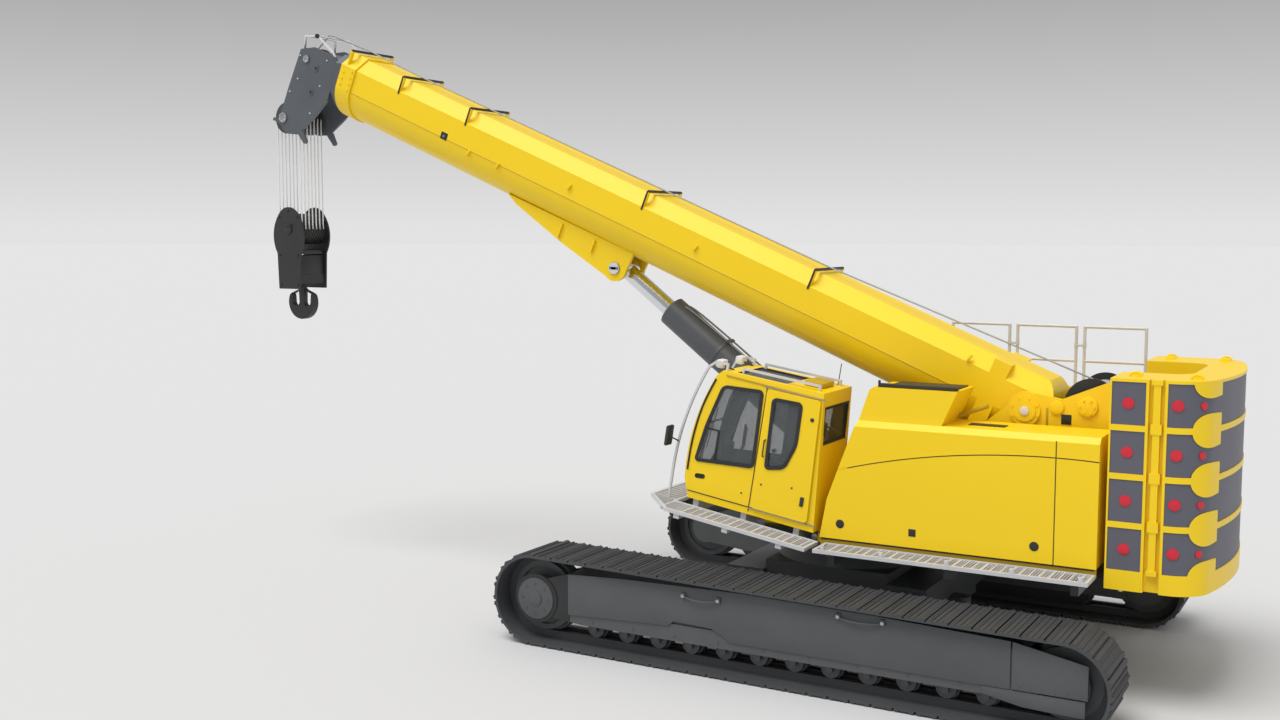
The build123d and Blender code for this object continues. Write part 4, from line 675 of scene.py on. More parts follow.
def buildCabTrim(s):
    bm = bmesh.new()
    for window, y in (("sideWindow", "nearGasket"), ("sideWindow", "farGasket"),
                      ("farWindow", "farGasket")):
        join(bm, gasket(s[window], s["gasket"]), at(0, s[y], 0))
    addParts(bm, s["onSide"], s["side"])
    addParts(bm, s["onMiddle"], s["middle"])
    for y in s["lampsAt"]:
        addParts(bm, s["lamp"], s["middle"] + y)
    for side in (-1, 1):
        addParts(bm, s["bothSides"], 0, side, s["middle"])
    finishes = ["rubber", "plastic", "darkYellow", "white", "lampGlass"]
    newPiece("cabTrim", bm, finishes, "cab", cabPlace)


buildCabTrim(cabTrim)

# the sliding door's rubber, handle and plugs, and the rails that it slides on
doorTrim = {
    "face": 1.653,
    "gasketFace": 1.65,
    "window": ((0.759, 0.709), (0.795, 1.623), (0.398, 1.64), (0.387, 1.105), (0.497, 0.778)),
    "onDoor": {
        "blocks": (((0.05, 0.02, 0.12), 0.008, (0.2, 0.005, 0.42), 1),),
        "discs": (
            ((0.012, 0.008, 0.002, 12), (0.78, 0.002, 0.5), 1),
            ((0.012, 0.008, 0.002, 12), (0.36, 0.002, 0.56), 1),
            ((0.026, 0.012, 0.003, 16), (0.235, 0.002, 1.47), 1),
        ),
        "rods": (
            (((0.81, 0, 0.86), (0.81, 0.035, 0.87), (0.815, 0.035, 1.07), (0.815, 0, 1.08)),
             0.009, 1),
        ),
    },
    "railFace": 1.62,
    "rails": {
        "blocks": (
            ((0.85, 0.012, 0.014), 0.003, (0.525, 0, 1.742), 0),
            ((0.94, 0.012, 0.014), 0.003, (0.45, 0, 0.148), 0),
        ),
    },
}


def buildDoorTrim(s):
    bm = bmesh.new()
    join(bm, gasket(s["window"], cabTrim["gasket"]), at(0, s["gasketFace"], 0))
    addParts(bm, s["onDoor"], s["face"])
    newPiece("doorTrim", bm, ["rubber", "plastic"], "door", cabPlace)

    bm = bmesh.new()
    addParts(bm, s["rails"], s["railFace"])
    newPiece("doorRails", bm, ["bareSteel"], "cab", cabPlace)


buildDoorTrim(doorTrim)

# what the driver uses: the screen on its stalk, levers and pedals
cockpit = {
    "middle": 1.14,
    "screenAt": (1.22, 1.4, 1.0),
    "screenTurn": 0.5,
    "screen": ((0.03, 0.2, 0.28), 0.012),
    "screenFace": ((0.008, 0.17, 0.23), 0.003),
    "faceShift": (0.016, 0.008, 0),
    "stalk": ((1.22, 1.4, 0.88), (1.3, 1.42, 0.45), (1.4, 1.44, 0.2)),
    "stalkRadius": 0.018,
    "pair": {
        "blocks": (((0.16, 0.09, 0.02), 0.01, (1.22, 0.135, 0.16), 2, -25),),
        "discs": (((0.028, 0.05, 0.012, 16), (1.0, 0.27, 0.78), 0),),
        "rods": ((((0.98, 0.27, 0.62), (1.0, 0.27, 0.76)), 0.013, 0),),
    },
}


def buildCockpit(s):
    bm = bmesh.new()
    turned = Matrix.Rotation(s["screenTurn"], 4, "Z")
    spot = Vector(s["screenAt"])
    join(bm, block(*s["screen"]), Matrix.Translation(spot) @ turned, 0)
    spot -= Vector(s["faceShift"])
    join(bm, block(*s["screenFace"]), Matrix.Translation(spot) @ turned, 1)
    join(bm, rod(s["stalk"], s["stalkRadius"], True))
    for side in (-1, 1):
        addParts(bm, s["pair"], 0, side, s["middle"])
    newPiece("cockpit", bm, ["plastic", "panelGrey", "rubber"], "cab", cabPlace)


buildCockpit(cockpit)
print("cab trimmed")

# boom: a dark yellow line along each side's crease, painted as the shade of a groove, lugs, plugs,
# the collar's bolts and the caps of the cylinder's upper pin
boomTrim = {
    "half": 0.5,
    "lugs": ((9.106, -0.184), (8.533, -0.168), (7.229, 0.019), (4.992, 0.015), (0.908, 0.268)),
    "lug": ((0.03, 0.05, 0.1), 0.008),
    "lugOut": 0.012,
    "lugTurn": -18,
    "collarBolt": (0.018, 0.02, 0.003, 6),
    "collarBolts": (11.7, 0.533, -0.13),  # the lowest one
    "collarStep": (0.17, 0.05),
    "collarCount": 7,
    "onBoom": {
        "blocks": (
            ((0.13, 0.016, 0.11), 0.01, (9.644, 0, -0.117), 2),
            ((0.16, 0.02, 0.05), 0.006, (6.2, -0.19, -0.82), 2, 20),
        ),
        "discs": (
            ((0.018, 0.03, 0.004, 12), (9.644, 0, -0.117), 3),
            ((0.09, 0.02, 0.006, 32), (6.2, -0.2, -0.82), 3),
            ((0.014, 0.014, 0.002, 6), (6.15, -0.178, -0.802), 3),
            ((0.014, 0.014, 0.002, 6), (6.25, -0.178, -0.838), 3),
        ),
        # painted shade: a thin dark yellow rod along the crease
        "rods": ((((0.9, 0, -0.15), (11.63, 0, -0.15)), 0.006, 1),),
    },
}


def buildBoomTrim(s):
    bm = bmesh.new()
    for side in (-1, 1):
        addParts(bm, s["onBoom"], s["half"], side)
        for x, z in s["lugs"]:
            y = side * (s["half"] + s["lugOut"])
            join(bm, block(*s["lug"]), at(x, y, z, s["lugTurn"]))
        x, y, z = s["collarBolts"]
        stepX, stepZ = s["collarStep"]
        for i in range(s["collarCount"]):
            spot = at(x + stepX * (i % 2), side * y, z + stepZ * i)
            join(bm, disc(*s["collarBolt"]), spot, 0)
    newPiece("boomTrim", bm, ["yellow", "darkYellow", "black", "bareSteel"], "boom", boomPlace)


buildBoomTrim(boomTrim)

# the hoist rope from the drum over its supports to the head
hoistLine = {
    "radius": 0.011,
    "y": 0.06,
    "above": 0.032,
    "heights": (0.445, 0.445, 0.445, 0.445, 0.475),
    "head": ((12.66, 0.478), (12.78, 0.462), (12.93, 0.19), (13.025, 0.04), (13.03, -0.3)),
    "steps": 28,
    "bends": 9,  # steps from the drum
    "leavesDrum": (-3.25, 3.548),
    "draws": (11.9, 12.6),  # stations along the boom
    "drawHeight": 0.4,
}


def buildHoistLine(s):
    x, z = s["leavesDrum"]
    start = boomBack @ Vector((x, s["y"], z))
    points = [
        Vector((station, s["y"], height + s["above"]))
        for station, height in zip(ropeSupports["stations"], s["heights"])
    ]
    # from the drum to the first support
    rear = [start.lerp(points[0], i / s["steps"]) for i in range(s["steps"] + 1)]
    piece = newPiece("hoistLineRear", rod(rear, s["radius"]), ["rope"], None, boomPlace)
    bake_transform(piece)
    points += [Vector((station, s["y"], height)) for station, height in s["head"]]
    piece = newPiece("hoistLine", rod(points, s["radius"]), ["rope"], None, boomPlace)
    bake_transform(piece)


buildHoistLine(hoistLine)

# the falls
ropeFalls = {
    "radius": 0.011,
    "x": (9.71345, 10.20605),
    "count": 7,
    "pitch": 0.084,
    "bottom": 5.44,
    "top": 7.2804,
}


def buildRopeFalls(s):
    bm = bmesh.new()
    for x in s["x"]:
        for i in range(s["count"]):
            y = s["pitch"] * (i - (s["count"] - 1) / 2)
            join(bm, rod(((x, y, s["top"]), (x, y, s["bottom"])), s["radius"]))
    piece = newPiece("ropeFalls", bm, ["falls"], None)
    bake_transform(piece)
    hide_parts("hoist_ropes")


buildRopeFalls(ropeFalls)

# turns of rope on the drum, and the bolts on its flanges
winding = {
    "centre": (-3.16, 3.33),
    "radius": 0.222,
    "half": 0.385,
    "turns": 32,
    "wire": 0.012,
    "sides": 6,
    "steps": 36,
    "flange": 0.437,
    "boltRadius": 0.12,
    "bolt": (0.016, 0.02, 0.003, 6),
    "bolts": 10,
}


def buildWinding(s):
    bm = bmesh.new()
    x, z = s["centre"]
    for i in range(s["turns"]):
        y = -s["half"] + 2 * s["half"] * i / (s["turns"] - 1)
        ring = bmesh.new()
        bmesh.ops.create_circle(ring, segments=s["sides"], radius=s["wire"])
        turned(ring, 90, "Y")
        bmesh.ops.translate(ring, verts=ring.verts, vec=(0, 0, s["radius"]))
        bmesh.ops.spin(ring, geom=ring.verts[:] + ring.edges[:], cent=(0, 0, 0), axis=(0, 1, 0),
                       dvec=(0, 0, 0), angle=2 * math.pi, steps=s["steps"], use_merge=True)
        bmesh.ops.recalc_face_normals(ring, faces=ring.faces)
        join(bm, ring, at(x, y, z))
    for side in (-1, 1):
        centre = (x, side * s["flange"], z)
        boltCircle(bm, centre, s["boltRadius"], s["bolt"], s["bolts"], 0, 1)
    newPiece("drumWinding", bm, ["rope", "bareSteel"], "winch")


buildWinding(winding)
print("boom dressed")

# head: caps and bolts of its axles, bores, cheek bolts and front arms
headTrim = {
    "cheek": 0.37,
    "axles": ((12.98, -1.05, 0.085), (12.83, 0.01, 0.06)),  # place and the cap's radius
    "capOut": 0.01,
    "capShape": (0.03, 0.006, 32),
    "axleBolt": (0.009, 0.014, 0.002, 6),
    "axleBoltOut": 0.028,
    "axleBoltShare": 0.7,  # of the cap's radius
    "axleBolts": 6,
    "axleBoltTurn": 15,
    "bores": ((12.583, -0.062), (12.556, -0.456)),
    "boreRim": (0.055, 0.012, 0.004, 28),
    "rimOut": 0.004,
    "boreHole": (0.027, 0.016, 0.003, 20),
    "cheekBolts": (
        (12.4, 0.13), (12.4, -0.3), (12.45, -0.78), (12.9, -0.35), (12.98, 0.02), (12.99, -0.6)
    ),
    "cheekBolt": (0.013, 0.016, 0.003, 6),
    "boltOut": 0.006,
    "arm": ((12.97, -1.07), (13.0, -1.14), (13.216, -1.185), (13.216, -1.13)),
    "armShape": (0.05, 0.006),
    "armIn": 0.05,
    "topPin": {"discs": (((0.035, 0.05, 0.01, 20), (12.746, 0, 0.425), 3),)},
}


def buildHeadTrim(s):
    bm = bmesh.new()
    for side in (-1, 1):
        for x, z, radius in s["axles"]:
            join(bm, disc(radius, *s["capShape"]), at(x, side * (s["cheek"] + s["capOut"]), z))
            centre = (x, side * (s["cheek"] + s["axleBoltOut"]), z)
            boltCircle(bm, centre, s["axleBoltShare"] * radius, s["axleBolt"], s["axleBolts"],
                       s["axleBoltTurn"], 1)
        rimY, boltY = [side * (s["cheek"] + s[out]) for out in ("rimOut", "boltOut")]
        for x, z in s["bores"]:
            join(bm, disc(*s["boreRim"]), at(x, rimY, z), 2)
            join(bm, disc(*s["boreHole"]), at(x, boltY, z), 3)
        for x, z in s["cheekBolts"]:
            join(bm, disc(*s["cheekBolt"]), at(x, boltY, z), 1)
        join(bm, panel(s["arm"], *s["armShape"]), at(0, side * (s["cheek"] - s["armIn"]), 0), 2)
    addParts(bm, s["topPin"], s["cheek"])
    finishes = ["bareSteel", "lightGrey", "headGrey", "black"]
    newPiece("headTrim", bm, finishes, "tip", boomPlace)


buildHeadTrim(headTrim)

# hook block: axle caps, keeper plates, bolts, and the plates that close its front and rear
blockTrim = {
    "x": 9.95975,
    "z": 5.44,
    "face": 0.32,
    "closing": ((0.02, 0.57, 0.42), 0.004),
    "closingX": 0.2,
    "closingZ": -0.65,
    "cap": (0.085, 0.024, 0.006, 32),
    "keeper": ((0.15, 0.012, 0.035), 0.004),
    "keeperOut": 0.02,
    "keeperZ": 0.06,
    "bolt": (0.018, 0.02, 0.003, 6),
    "boltOut": 0.006,
    "bolts": (
        (-0.2, -0.44), (0.2, -0.44), (-0.19, -0.93), (0.19, -0.93), (-0.2, 0.2), (0.2, 0.2),
        (0, 0.3),
    ),
}


def buildBlockTrim(s):
    bm = bmesh.new()
    for side in (-1, 1):
        y = side * (s["face"] + s["boltOut"])
        join(bm, disc(*s["cap"]), at(s["x"], y, s["z"]), 1)
        closingX = s["x"] + side * s["closingX"]
        join(bm, block(*s["closing"]), at(closingX, 0, s["z"] + s["closingZ"]), 1)
        keeperY = side * (s["face"] + s["keeperOut"])
        join(bm, block(*s["keeper"]), at(s["x"], keeperY, s["z"] + s["keeperZ"]), 1)
        for x, z in s["bolts"]:
            join(bm, disc(*s["bolt"]), at(s["x"] + x, y, s["z"] + z), 1)
    newPiece("blockTrim", bm, ["bareSteel", "black"], "block")


buildBlockTrim(blockTrim)
print("head and block dressed")

# luffing cylinder, in its own frame: x runs from the foot to the rod's eye
cylinder = {
    "foot": (-0.15, 0, 2.0),
    "angle": 37.37,
    "length": 4.7388,
    "mouthBolts": 12,
    "mouthBolt": (0.018, 0.02, 0.003, 6),
    "mouthRadius": 0.18,
    "mouthX": 3.7468,
    "bands": (0.45, 1.6, 2.75),
    "band": (0.228, 0.05, 0.006, 40),
    "strap": ((0.05, 0.2, 0.035), 0.006),
    "strapZ": 0.25,
    "pipes": {
        "blocks": (((0.2, 0.2, 0.09), 0.015, (0.36, 0, 0.24), 0),),
        "rods": tuple(
            (((0.35, y, 0.2), (0.42, y, 0.25), (3.5, y, 0.25), (3.58, y, 0.2)), 0.014, 1, True)
            for y in (-0.07, 0.07)
        ),
    },
    "eyeCap": (0.1, 0.02, 0.005, 32),
    "eyeY": 0.185,
}
cylinderPlace = place(cylinder["foot"], cylinder["angle"])


def buildCylinderTrim(s):
    bm = bmesh.new()
    for i in range(s["mouthBolts"]):
        turn = 2 * math.pi / s["mouthBolts"] * i
        y, z = s["mouthRadius"] * math.cos(turn), s["mouthRadius"] * math.sin(turn)
        join(bm, turned(disc(*s["mouthBolt"]), 90, "Z"), at(s["mouthX"], y, z), 1)
    for x in s["bands"]:
        join(bm, turned(disc(*s["band"]), 90, "Z"), at(x, 0, 0))
        join(bm, block(*s["strap"]), at(x, 0, s["strapZ"]))
    addParts(bm, s["pipes"])
    newPiece("barrelTrim", bm, ["barrelGrey", "bareSteel"], "cylinder_barrel", cylinderPlace)

    bm = bmesh.new()
    for side in (-1, 1):
        join(bm, disc(*s["eyeCap"]), at(s["length"], side * s["eyeY"], 0))
    newPiece("rodTrim", bm, ["barrelGrey"], "cylinder_rod", cylinderPlace)


buildCylinderTrim(cylinder)
print("luffing cylinder dressed")

# hoods, tower, boom plates and deck; slots are black, dark yellow, yellow, light grey, bare
# steel, galvanised and rubber
upperTrim = {
    "hood": 1.573,
    "onHood": {
        "blocks": (
            ((0.09, 0.01, 0.09), 0.004, (-1.339, 0.001, 1.784), 0),
            ((3.32, 0.012, 0.02), 0.003, (-1.82, -0.022, 1.585), 0),  # painted shadow: a black strip in the gap under the hood
        ),
        "discs": (
            ((0.055, 0.01, 0.003, 28), (-0.412, 0.001, 1.794), 0),
            ((0.055, 0.01, 0.003, 28), (-2.799, 0.001, 1.789), 0),
        ),
    },
    "tower": {
        "blocks": (
            ((0.98, 0.1, 0.045), 0.012, (-1.33, 1.42, 3.542), 0),  # dark top
            ((0.86, 0.5, 0.02), 0.006, (-1.35, 1.1, 3.527), 0),
            ((0.44, 0.16, 0.012), 0.004, (-2.12, 1.16, 3.104), 0),  # painted shade: a black plate where the gap behind the tower lies in shadow
        ),
        "rods": (
            (((-0.84, 1.42, 3.5), (-0.84, 1.42, 3.6)), 0.016, 0),
            (((-1.67, 0.9, 3.15), (-2.04, 0.9, 3.3)), 0.03, 1),  # strut
        ),
    },
    "plate": 0.62,
    "onPlate": {
        "blocks": (
            ((0.026, 0.012, 0.22), 0.008, (-2.683, 0.001, 3.18), 1),
            ((0.12, 0.016, 0.12), 0.006, (-2.911, 0.002, 3.16), 0),
        ),
        "discs": (
            ((0.055, 0.016, 0.005, 36), (-2.42, 0.058, 3.24), 3),
            ((0.085, 0.04, 0.012, 32), (-2.8, 0.012, 3.3), 2),
            ((0.12, 0.05, 0.012, 36), (-3.16, 0.01, 3.33), 2),
        ),
    },
    "circleOut": 0.04,
    "circles": (  # x, z, radius, bolt, count, first bolt's turn
        (-2.42, 3.24, 0.16, (0.012, 0.014, 0.002, 6), 8, 20),
        (-3.16, 3.33, 0.085, (0.014, 0.014, 0.002, 6), 6, 0),
    ),
    "postX": (-3.42, -2.66, -1.9, -1.1, -0.35),
    "postY": 2.0,
    "postZ": 1.56,
    "post": ((0.05, 0.03, 0.09), 0.006),
    "hoses": 4,
    "hose": ((0.2, 0.45, 1.5), (0.3, 0.42, 1.62), (-0.2, 0.4, 1.66), (-0.6, 0.36, 1.56)),
    "hoseStep": ((0.08, 0, 0), (0.05, 0, 0), (0, -0.03, 0), (0, -0.04, 0)),
    "hoseRadius": 0.018,
    "valves": {
        "blocks": (((0.5, 0.26, 0.22), 0.02, (-0.85, 0.3, 1.6), 0),),
        "discs": tuple(
            ((0.03, 0.05, 0.008, 16), (-1.05 + 0.1 * i, 0.44, 1.62), 4) for i in range(5)
        ),
    },
}


def buildUpperTrim(s):
    bm = bmesh.new()
    addParts(bm, s["tower"])
    addParts(bm, s["valves"])
    for side in (-1, 1):
        addParts(bm, s["onHood"], s["hood"], side)
        addParts(bm, s["onPlate"], s["plate"], side)
        for x, z, radius, bolt, count, start in s["circles"]:
            centre = (x, side * (s["plate"] + s["circleOut"]), z)
            boltCircle(bm, centre, radius, bolt, count, start, 2)
        for x in s["postX"]:
            join(bm, block(*s["post"]), at(x, side * s["postY"], s["postZ"]), 5)
    for i in range(s["hoses"]):
        line = [Vector(p) + i * Vector(step) for p, step in zip(s["hose"], s["hoseStep"])]
        join(bm, rod(line, s["hoseRadius"], True), None, 6)
    finishes = [
        "black", "darkYellow", "yellow", "lightGrey", "bareSteel", "galvanised", "rubber"
    ]
    newPiece("upperTrim", bm, finishes, "upper")


buildUpperTrim(upperTrim)

# bars of the walkways' gratings and of the cab's platform, which narrows to the front
grating = {
    "pitch": 0.0333,
    "bar": 0.006,
    "depth": 0.03,
    "deckBars": 95,
    "deckStart": -3.44,
    "deckWidth": 0.4,
    "deckY": 1.805,
    "deckLevel": 1.524,
    "cabBars": 72,
    "cabStart": -0.06,
    "cabNear": (1.67, 0.75),  # beside the cab, and ahead of it
    "cabFront": 1.95,
    "cabFar": 2.07,
    "taperStart": 1.86,
    "taper": 1.02,
    "cabLevel": -0.036,
}


def buildGratings(s):
    for name, side in sides.items():
        bm = bmesh.new()
        for i in range(s["deckBars"]):
            bar = block((s["bar"], s["deckWidth"], s["depth"]))
            x = s["deckStart"] + s["pitch"] * i
            join(bm, bar, at(x, side * s["deckY"], s["deckLevel"]))
        newPiece(name + "Grating", bm, ["lightGrey"], "upper", smooth=False)
    bm = bmesh.new()
    for i in range(s["cabBars"]):
        x = s["cabStart"] + s["pitch"] * i
        near = s["cabNear"][0 if x < s["cabFront"] else 1]
        far = s["cabFar"] - max(0, x - s["taperStart"]) * s["taper"]
        bar = block((s["bar"], far - near, s["depth"]))
        join(bm, bar, at(x, (near + far) / 2, s["cabLevel"]))
    newPiece("cabGrating", bm, ["lightGrey"], "cab", cabPlace, smooth=False)


buildGratings(grating)

# links between the handrails' frames, and the bent handle at their front
handrailTrim = {
    "y": -1.613,
    "links": ((-1.73, -1.62), (-2.63, -2.52)),
    "height": 3.88,
    "linkRadius": 0.018,
    "sleeveHalf": 0.03,
    "sleeveRadius": 0.027,
    "handle": (  # x, inwards, z
        (-0.56, 0.05, 3.08), (-0.56, 0, 3.25), (-0.48, 0, 3.36), (-0.4, 0, 3.25),
        (-0.36, 0.05, 2.9),
    ),
}


def buildHandrailTrim(s):
    bm = bmesh.new()
    y, height, half = s["y"], s["height"], s["sleeveHalf"]
    for start, end in s["links"]:
        join(bm, rod(((start, y, height), (end, y, height)), s["linkRadius"]))
        for x in (start, end):
            join(bm, rod(((x, y, height - half), (x, y, height + half)), s["sleeveRadius"]))
    join(bm, rod([(x, y + inwards, z) for x, inwards, z in s["handle"]], s["linkRadius"], True))
    newPiece("handrailTrim", bm, ["galvanised"], "upper")


buildHandrailTrim(handrailTrim)

# counterweight: round reflectors, lifting studs and eyes, and a white plug on each side
weightTrim = {
    "bottom": 1.588,
    "step": 0.55,
    "count": 4,
    "spots": (  # x, y, turn, radius
        (-3.78, 1.527, 0, 0.065), (-4.3, 1.522, 9, 0.065), (-4.55, 1.384, 50, 0.045)
    ),
    "spotShape": (0.014, 0.004, 28),
    "liftX": (-3.8, -4.45),
    "stud": (0.06, 0.05, 0.01, 20),
    "studY": 1.1,
    "liftZ": 3.778,
    "eye": ((-0.07, 0), (-0.05, 0.06), (0.05, 0.06), (0.07, 0)),
    "eyeY": 1.25,
    "eyeRadius": 0.014,
    "plug": {"discs": (((0.03, 0.03, 0.006, 16), (-3.75, 1.45, 1.385), 2),)},
}


def buildWeightTrim(s):
    bm = bmesh.new()
    for side in (-1, 1):
        for level in range(s["count"]):
            z = s["bottom"] + s["step"] * (level + 0.5)
            for x, y, turn, radius in s["spots"]:
                spot = turned(disc(radius, *s["spotShape"]), side * turn, "Z")
                join(bm, spot, at(x, side * y, z))
        for x in s["liftX"]:
            join(bm, disc(*s["stud"]), at(x, side * s["studY"], s["liftZ"]), 1)
            eye = [(x + along, side * s["eyeY"], s["liftZ"] + up) for along, up in s["eye"]]
            join(bm, rod(eye, s["eyeRadius"], True), None, 1)
        addParts(bm, s["plug"], 0, side)
    newPiece("weightTrim", bm, ["red", "yellow", "white"], "upper")


buildWeightTrim(weightTrim)
print("upper works dressed")

# crawlers: side skins, a black plate painted as shade over the front fork, handholds, hub and
# drive covers, and guards on the inner side
crawlerTrim = {
    "face": 2.72,
    "panels": (  # outline, depth, slot
        ("noseShade", 0.008, 2), ("skin", 0.02, 0), ("cover", 0.026, 0), ("coverFoot", 0.012, 0)
    ),
    # painted shade: a black plate that darkens the fork at the front
    "noseShade": ((2.85, 0.36), (3.48, 0.42), (3.48, 0.81), (2.85, 1.0)),
    "skin": (
        (2.86, 0.46), (1.39, 0.535), (1.3, 0.6), (0.785, 0.58), (0.61, 0.505), (0.55, 0.447),
        (-2.862, 0.447), (-2.862, 0.985), (-1.3, 1.045), (0.36, 1.075), (2.055, 1.04),
        (2.86, 0.995),
    ),
    "cover": ((-2.88, 0.456), (-3.69, 0.456), (-3.69, 0.835), (-2.88, 0.985)),
    "coverFoot": ((-2.55, 0.44), (-2.55, 0.35), (-3.0, 0.27), (-3.66, 0.25), (-3.66, 0.44)),
    "handholds": ((1.16, 0.68, 0.95), (-0.87, -1.41, 0.98)),  # ends and height
    "handholdOut": (0.04, 0.07),
    "handholdBend": 0.08,
    "handholdDrop": 0.035,
    "handholdRadius": 0.012,
    "foot": ((0.06, 0.05, 0.08), 0.01),
    "footBolt": (0.026, 0.03, 0.004, 6),
    "footOut": (0.02, 0.05),  # the foot and its bolt
    "hub": (3.355, 0.615),
    "hubDiscs": (  # shape, out, slot
        ((0.325, 0.02, 0.004, 48), 0.012, 2), ((0.275, 0.05, 0.014, 48), 0.02, 0),
        ((0.1, 0.02, 0.006, 32), 0.048, 0),
    ),
    "hubBolts": (0.2, (0.016, 0.016, 0.003, 6), 8),  # radius, bolt, count
    "hubBoltOut": 0.046,
    "boltRows": (  # bolt, first one's place, step, count
        ((0.014, 0.016, 0.003, 6), (-2.95, 0.026, 0.49), -0.13, 6),
        ((0.014, 0.014, 0.003, 6), (-2.3, 0.002, 0.41), 0.6, 9),
    ),
    "guardFace": 2.13,
    "guardShape": (0.02, 0.004),
    "guards": (
        ((-2.6, 0.17), (2.55, 0.17), (2.75, 0.4), (-2.75, 0.4)),
        ((-2.85, 0.8), (3.0, 0.8), (3.05, 1.06), (2.6, 1.04), (-2.85, 0.93)),
    ),
}


def buildCrawlerTrim(name, side, s):
    bm = bmesh.new()

    def across(out):
        return side * (s["face"] + out)

    for outline, depth, slot in s["panels"]:
        join(bm, panel(s[outline], depth, depth / 5), at(0, across(depth / 2), 0), slot)
    for start, end, z in s["handholds"]:
        near, far = [across(out) for out in s["handholdOut"]]
        bend, low = s["handholdBend"], z - s["handholdDrop"]
        line = ((start, near, z), (start - bend, far, low), (end + bend, far, low), (end, near, z))
        join(bm, rod(line, s["handholdRadius"], True))
        footY, boltY = [across(out) for out in s["footOut"]]
        for x in (start, end):
            join(bm, block(*s["foot"]), at(x, footY, z))
            join(bm, disc(*s["footBolt"]), at(x, boltY, z), 1)
    x, z = s["hub"]
    for shape, out, slot in s["hubDiscs"]:
        join(bm, disc(*shape), at(x, across(out), z), slot)
    boltCircle(bm, (x, across(s["hubBoltOut"]), z), *s["hubBolts"])
    for bolt, (x, out, z), step, count in s["boltRows"]:
        for i in range(count):
            join(bm, disc(*bolt), at(x + step * i, across(out), z))
    for outline in s["guards"]:
        join(bm, panel(outline, *s["guardShape"]), at(0, side * s["guardFace"], 0), 2)
    newPiece(name + "CrawlerTrim", bm, ["darkGrey", "bareSteel", "black"], name + "_crawler")


# ribs on the shoes, spaced along the loop of the track
belt = {
    "front": (3.355, 0.615),  # the centre's x and its height over the ground
    "rear": (-3.415, 0.555),
    "shoes": 66,
    "offsets": (-0.1, -0.038, 0.0, 0.038, 0.1),
    "inset": 0.022,  # from the outside of the loop to the middle of a rib
    "rib": (0.014, 0.88, 0.02),
    "y": 2.4,
}


def alongBelt(travel, s):
    (frontX, frontR), (rearX, rearR) = s["front"], s["rear"]
    spread = math.hypot(frontX - rearX, frontR - rearR)
    inFront, inRear = frontR - s["inset"], rearR - s["inset"]
    rise = math.atan2(frontR - rearR, frontX - rearX)
    up = rise + math.pi / 2 + math.atan2(inRear - inFront, spread)

    def onWheel(x, z, radius, turn):
        return Vector((x + radius * math.cos(turn), z + radius * math.sin(turn)))

    top = (onWheel(frontX, frontR, inFront, up), onWheel(rearX, rearR, inRear, up))
    runs = (  # bottom, round the front, top, round the rear
        frontX - rearX, inFront * (up + math.pi / 2), (top[1] - top[0]).length,
        inRear * (1.5 * math.pi - up),
    )
    left = travel % sum(runs)
    if left < runs[0]:
        return Vector((rearX + left, rearR - inRear)), -math.pi / 2
    left -= runs[0]
    if left < runs[1]:
        turn = -math.pi / 2 + left / inFront
        return onWheel(frontX, frontR, inFront, turn), turn
    left -= runs[1]
    if left < runs[2]:
        return top[0].lerp(top[1], left / runs[2]), up
    turn = up + (left - runs[2]) / inRear
    return onWheel(rearX, rearR, inRear, turn), turn


def buildShoeRibs(name, side, s):
    bm = bmesh.new()
    (frontX, frontR), (rearX, rearR) = s["front"], s["rear"]
    around = 2 * (frontX - rearX) + math.pi * (frontR + rearR)
    for i in range(s["shoes"]):
        for offset in s["offsets"]:
            point, turn = alongBelt((i + 0.5) / s["shoes"] * around + offset, s)
            spot = at(point.x, side * s["y"], point.y, 90 - math.degrees(turn))
            join(bm, block(s["rib"]), spot)
    newPiece(name + "ShoeRibs", bm, ["track"], name + "_crawler", smooth=False)


for name, side in sides.items():
    buildCrawlerTrim(name, side, crawlerTrim)
for name, side in sides.items():
    buildShoeRibs(name, side, belt)

# bolts that hold the slewing ring
ringTrim = {
    "radius": 0.93,
    "height": 1.21,
    "count": 48,
    "bolt": {"segments": 6, "radius1": 0.016, "radius2": 0.016, "depth": 0.03},
}


def buildRingTrim(s):
    bm = bmesh.new()
    for i in range(s["count"]):
        turn = 2 * math.pi * i / s["count"]
        bolt = bmesh.new()
        bmesh.ops.create_cone(bolt, cap_ends=True, **s["bolt"])
        x, y = s["radius"] * math.cos(turn), s["radius"] * math.sin(turn)
        join(bm, bolt, at(x, y, s["height"]))
    newPiece("ringBolts", bm, ["bareSteel"], "undercarriage")


buildRingTrim(ringTrim)
print("crawlers dressed")

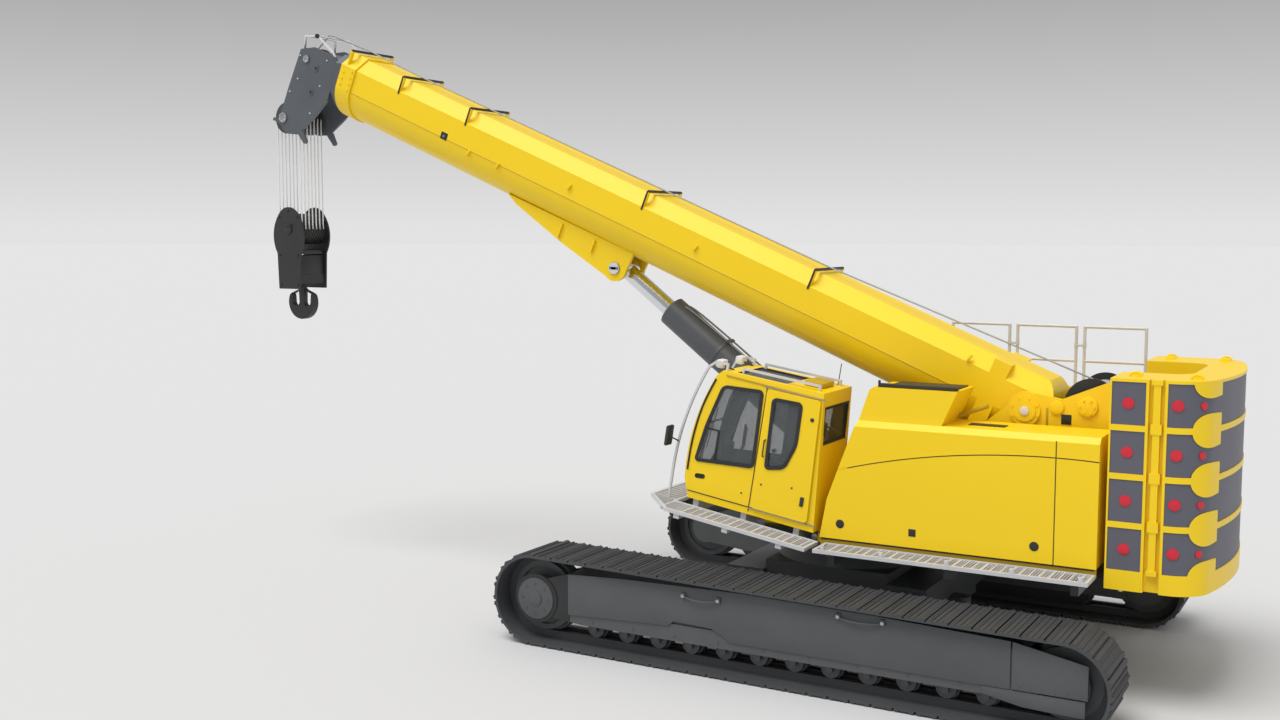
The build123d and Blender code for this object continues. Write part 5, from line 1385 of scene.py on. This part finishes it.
studio = {
    "floorSize": 900.0,
    "floorColour": (0.585, 0.585, 0.585),
    "keyStrength": 2.15,
    "keyAngle": 36.0,
    "keyTurn": (-21, 12, 10),
    "fillStrength": 0.72,
    "backdropTop": (0.41, 0.41, 0.41),
    "backdropLow": (0.766, 0.766, 0.766),
    "topHeight": 0.161,  # of the view's direction, where the backdrop is darkest
}


def buildStudio(s):
    bm = bmesh.new()
    bmesh.ops.create_grid(bm, x_segments=2, y_segments=2, size=s["floorSize"] / 2)
    mesh = bpy.data.meshes.new("floor")
    bm.to_mesh(mesh)
    bm.free()
    floor = addObject("floor", mesh)
    mat, tree, shader = emptyMaterial("floor")
    setInputs(shader, {"Base Color": (*s["floorColour"], 1), "Roughness": 1.0,
                       "Specular IOR Level": 0.0})
    mesh.materials.append(mat)

    key = bpy.data.lights.new("key", "SUN")
    key.energy = s["keyStrength"]
    key.angle = math.radians(s["keyAngle"])
    lamp = addObject("key", key)
    lamp.rotation_euler = [math.radians(a) for a in s["keyTurn"]]

    world = bpy.data.worlds.new("studio")
    bpy.context.scene.world = world
    world.use_nodes = True
    tree = world.node_tree
    tree.nodes.clear()
    out, seen, lit, mix, path, coords, split, ramp = [
        tree.nodes.new("ShaderNode" + kind)
        for kind in ("OutputWorld", "Background", "Background", "MixShader", "LightPath",
                     "TexCoord", "SeparateXYZ", "ValToRGB")
    ]
    low, top = ramp.color_ramp.elements
    low.position, low.color = 0.0, (*s["backdropLow"], 1)
    top.position, top.color = s["topHeight"], (*s["backdropTop"], 1)
    tree.links.new(coords.outputs["Generated"], split.inputs[0])
    tree.links.new(split.outputs["Z"], ramp.inputs[0])
    tree.links.new(ramp.outputs[0], seen.inputs[0])
    lit.inputs[0].default_value = (1, 1, 1, 1)
    lit.inputs[1].default_value = s["fillStrength"]
    rays = [path.outputs["Is %s Ray" % kind] for kind in ("Camera", "Glossy", "Transmission")]
    straight = mathNode(tree, "MAXIMUM", rays[0], rays[1])  # these see the backdrop
    tree.links.new(mathNode(tree, "MAXIMUM", straight, rays[2]), mix.inputs[0])
    tree.links.new(lit.outputs[0], mix.inputs[1])
    tree.links.new(seen.outputs[0], mix.inputs[2])
    tree.links.new(mix.outputs[0], out.inputs[0])


buildStudio(studio)
bpy.context.scene.view_settings.view_transform = "Standard"
print("studio lit")
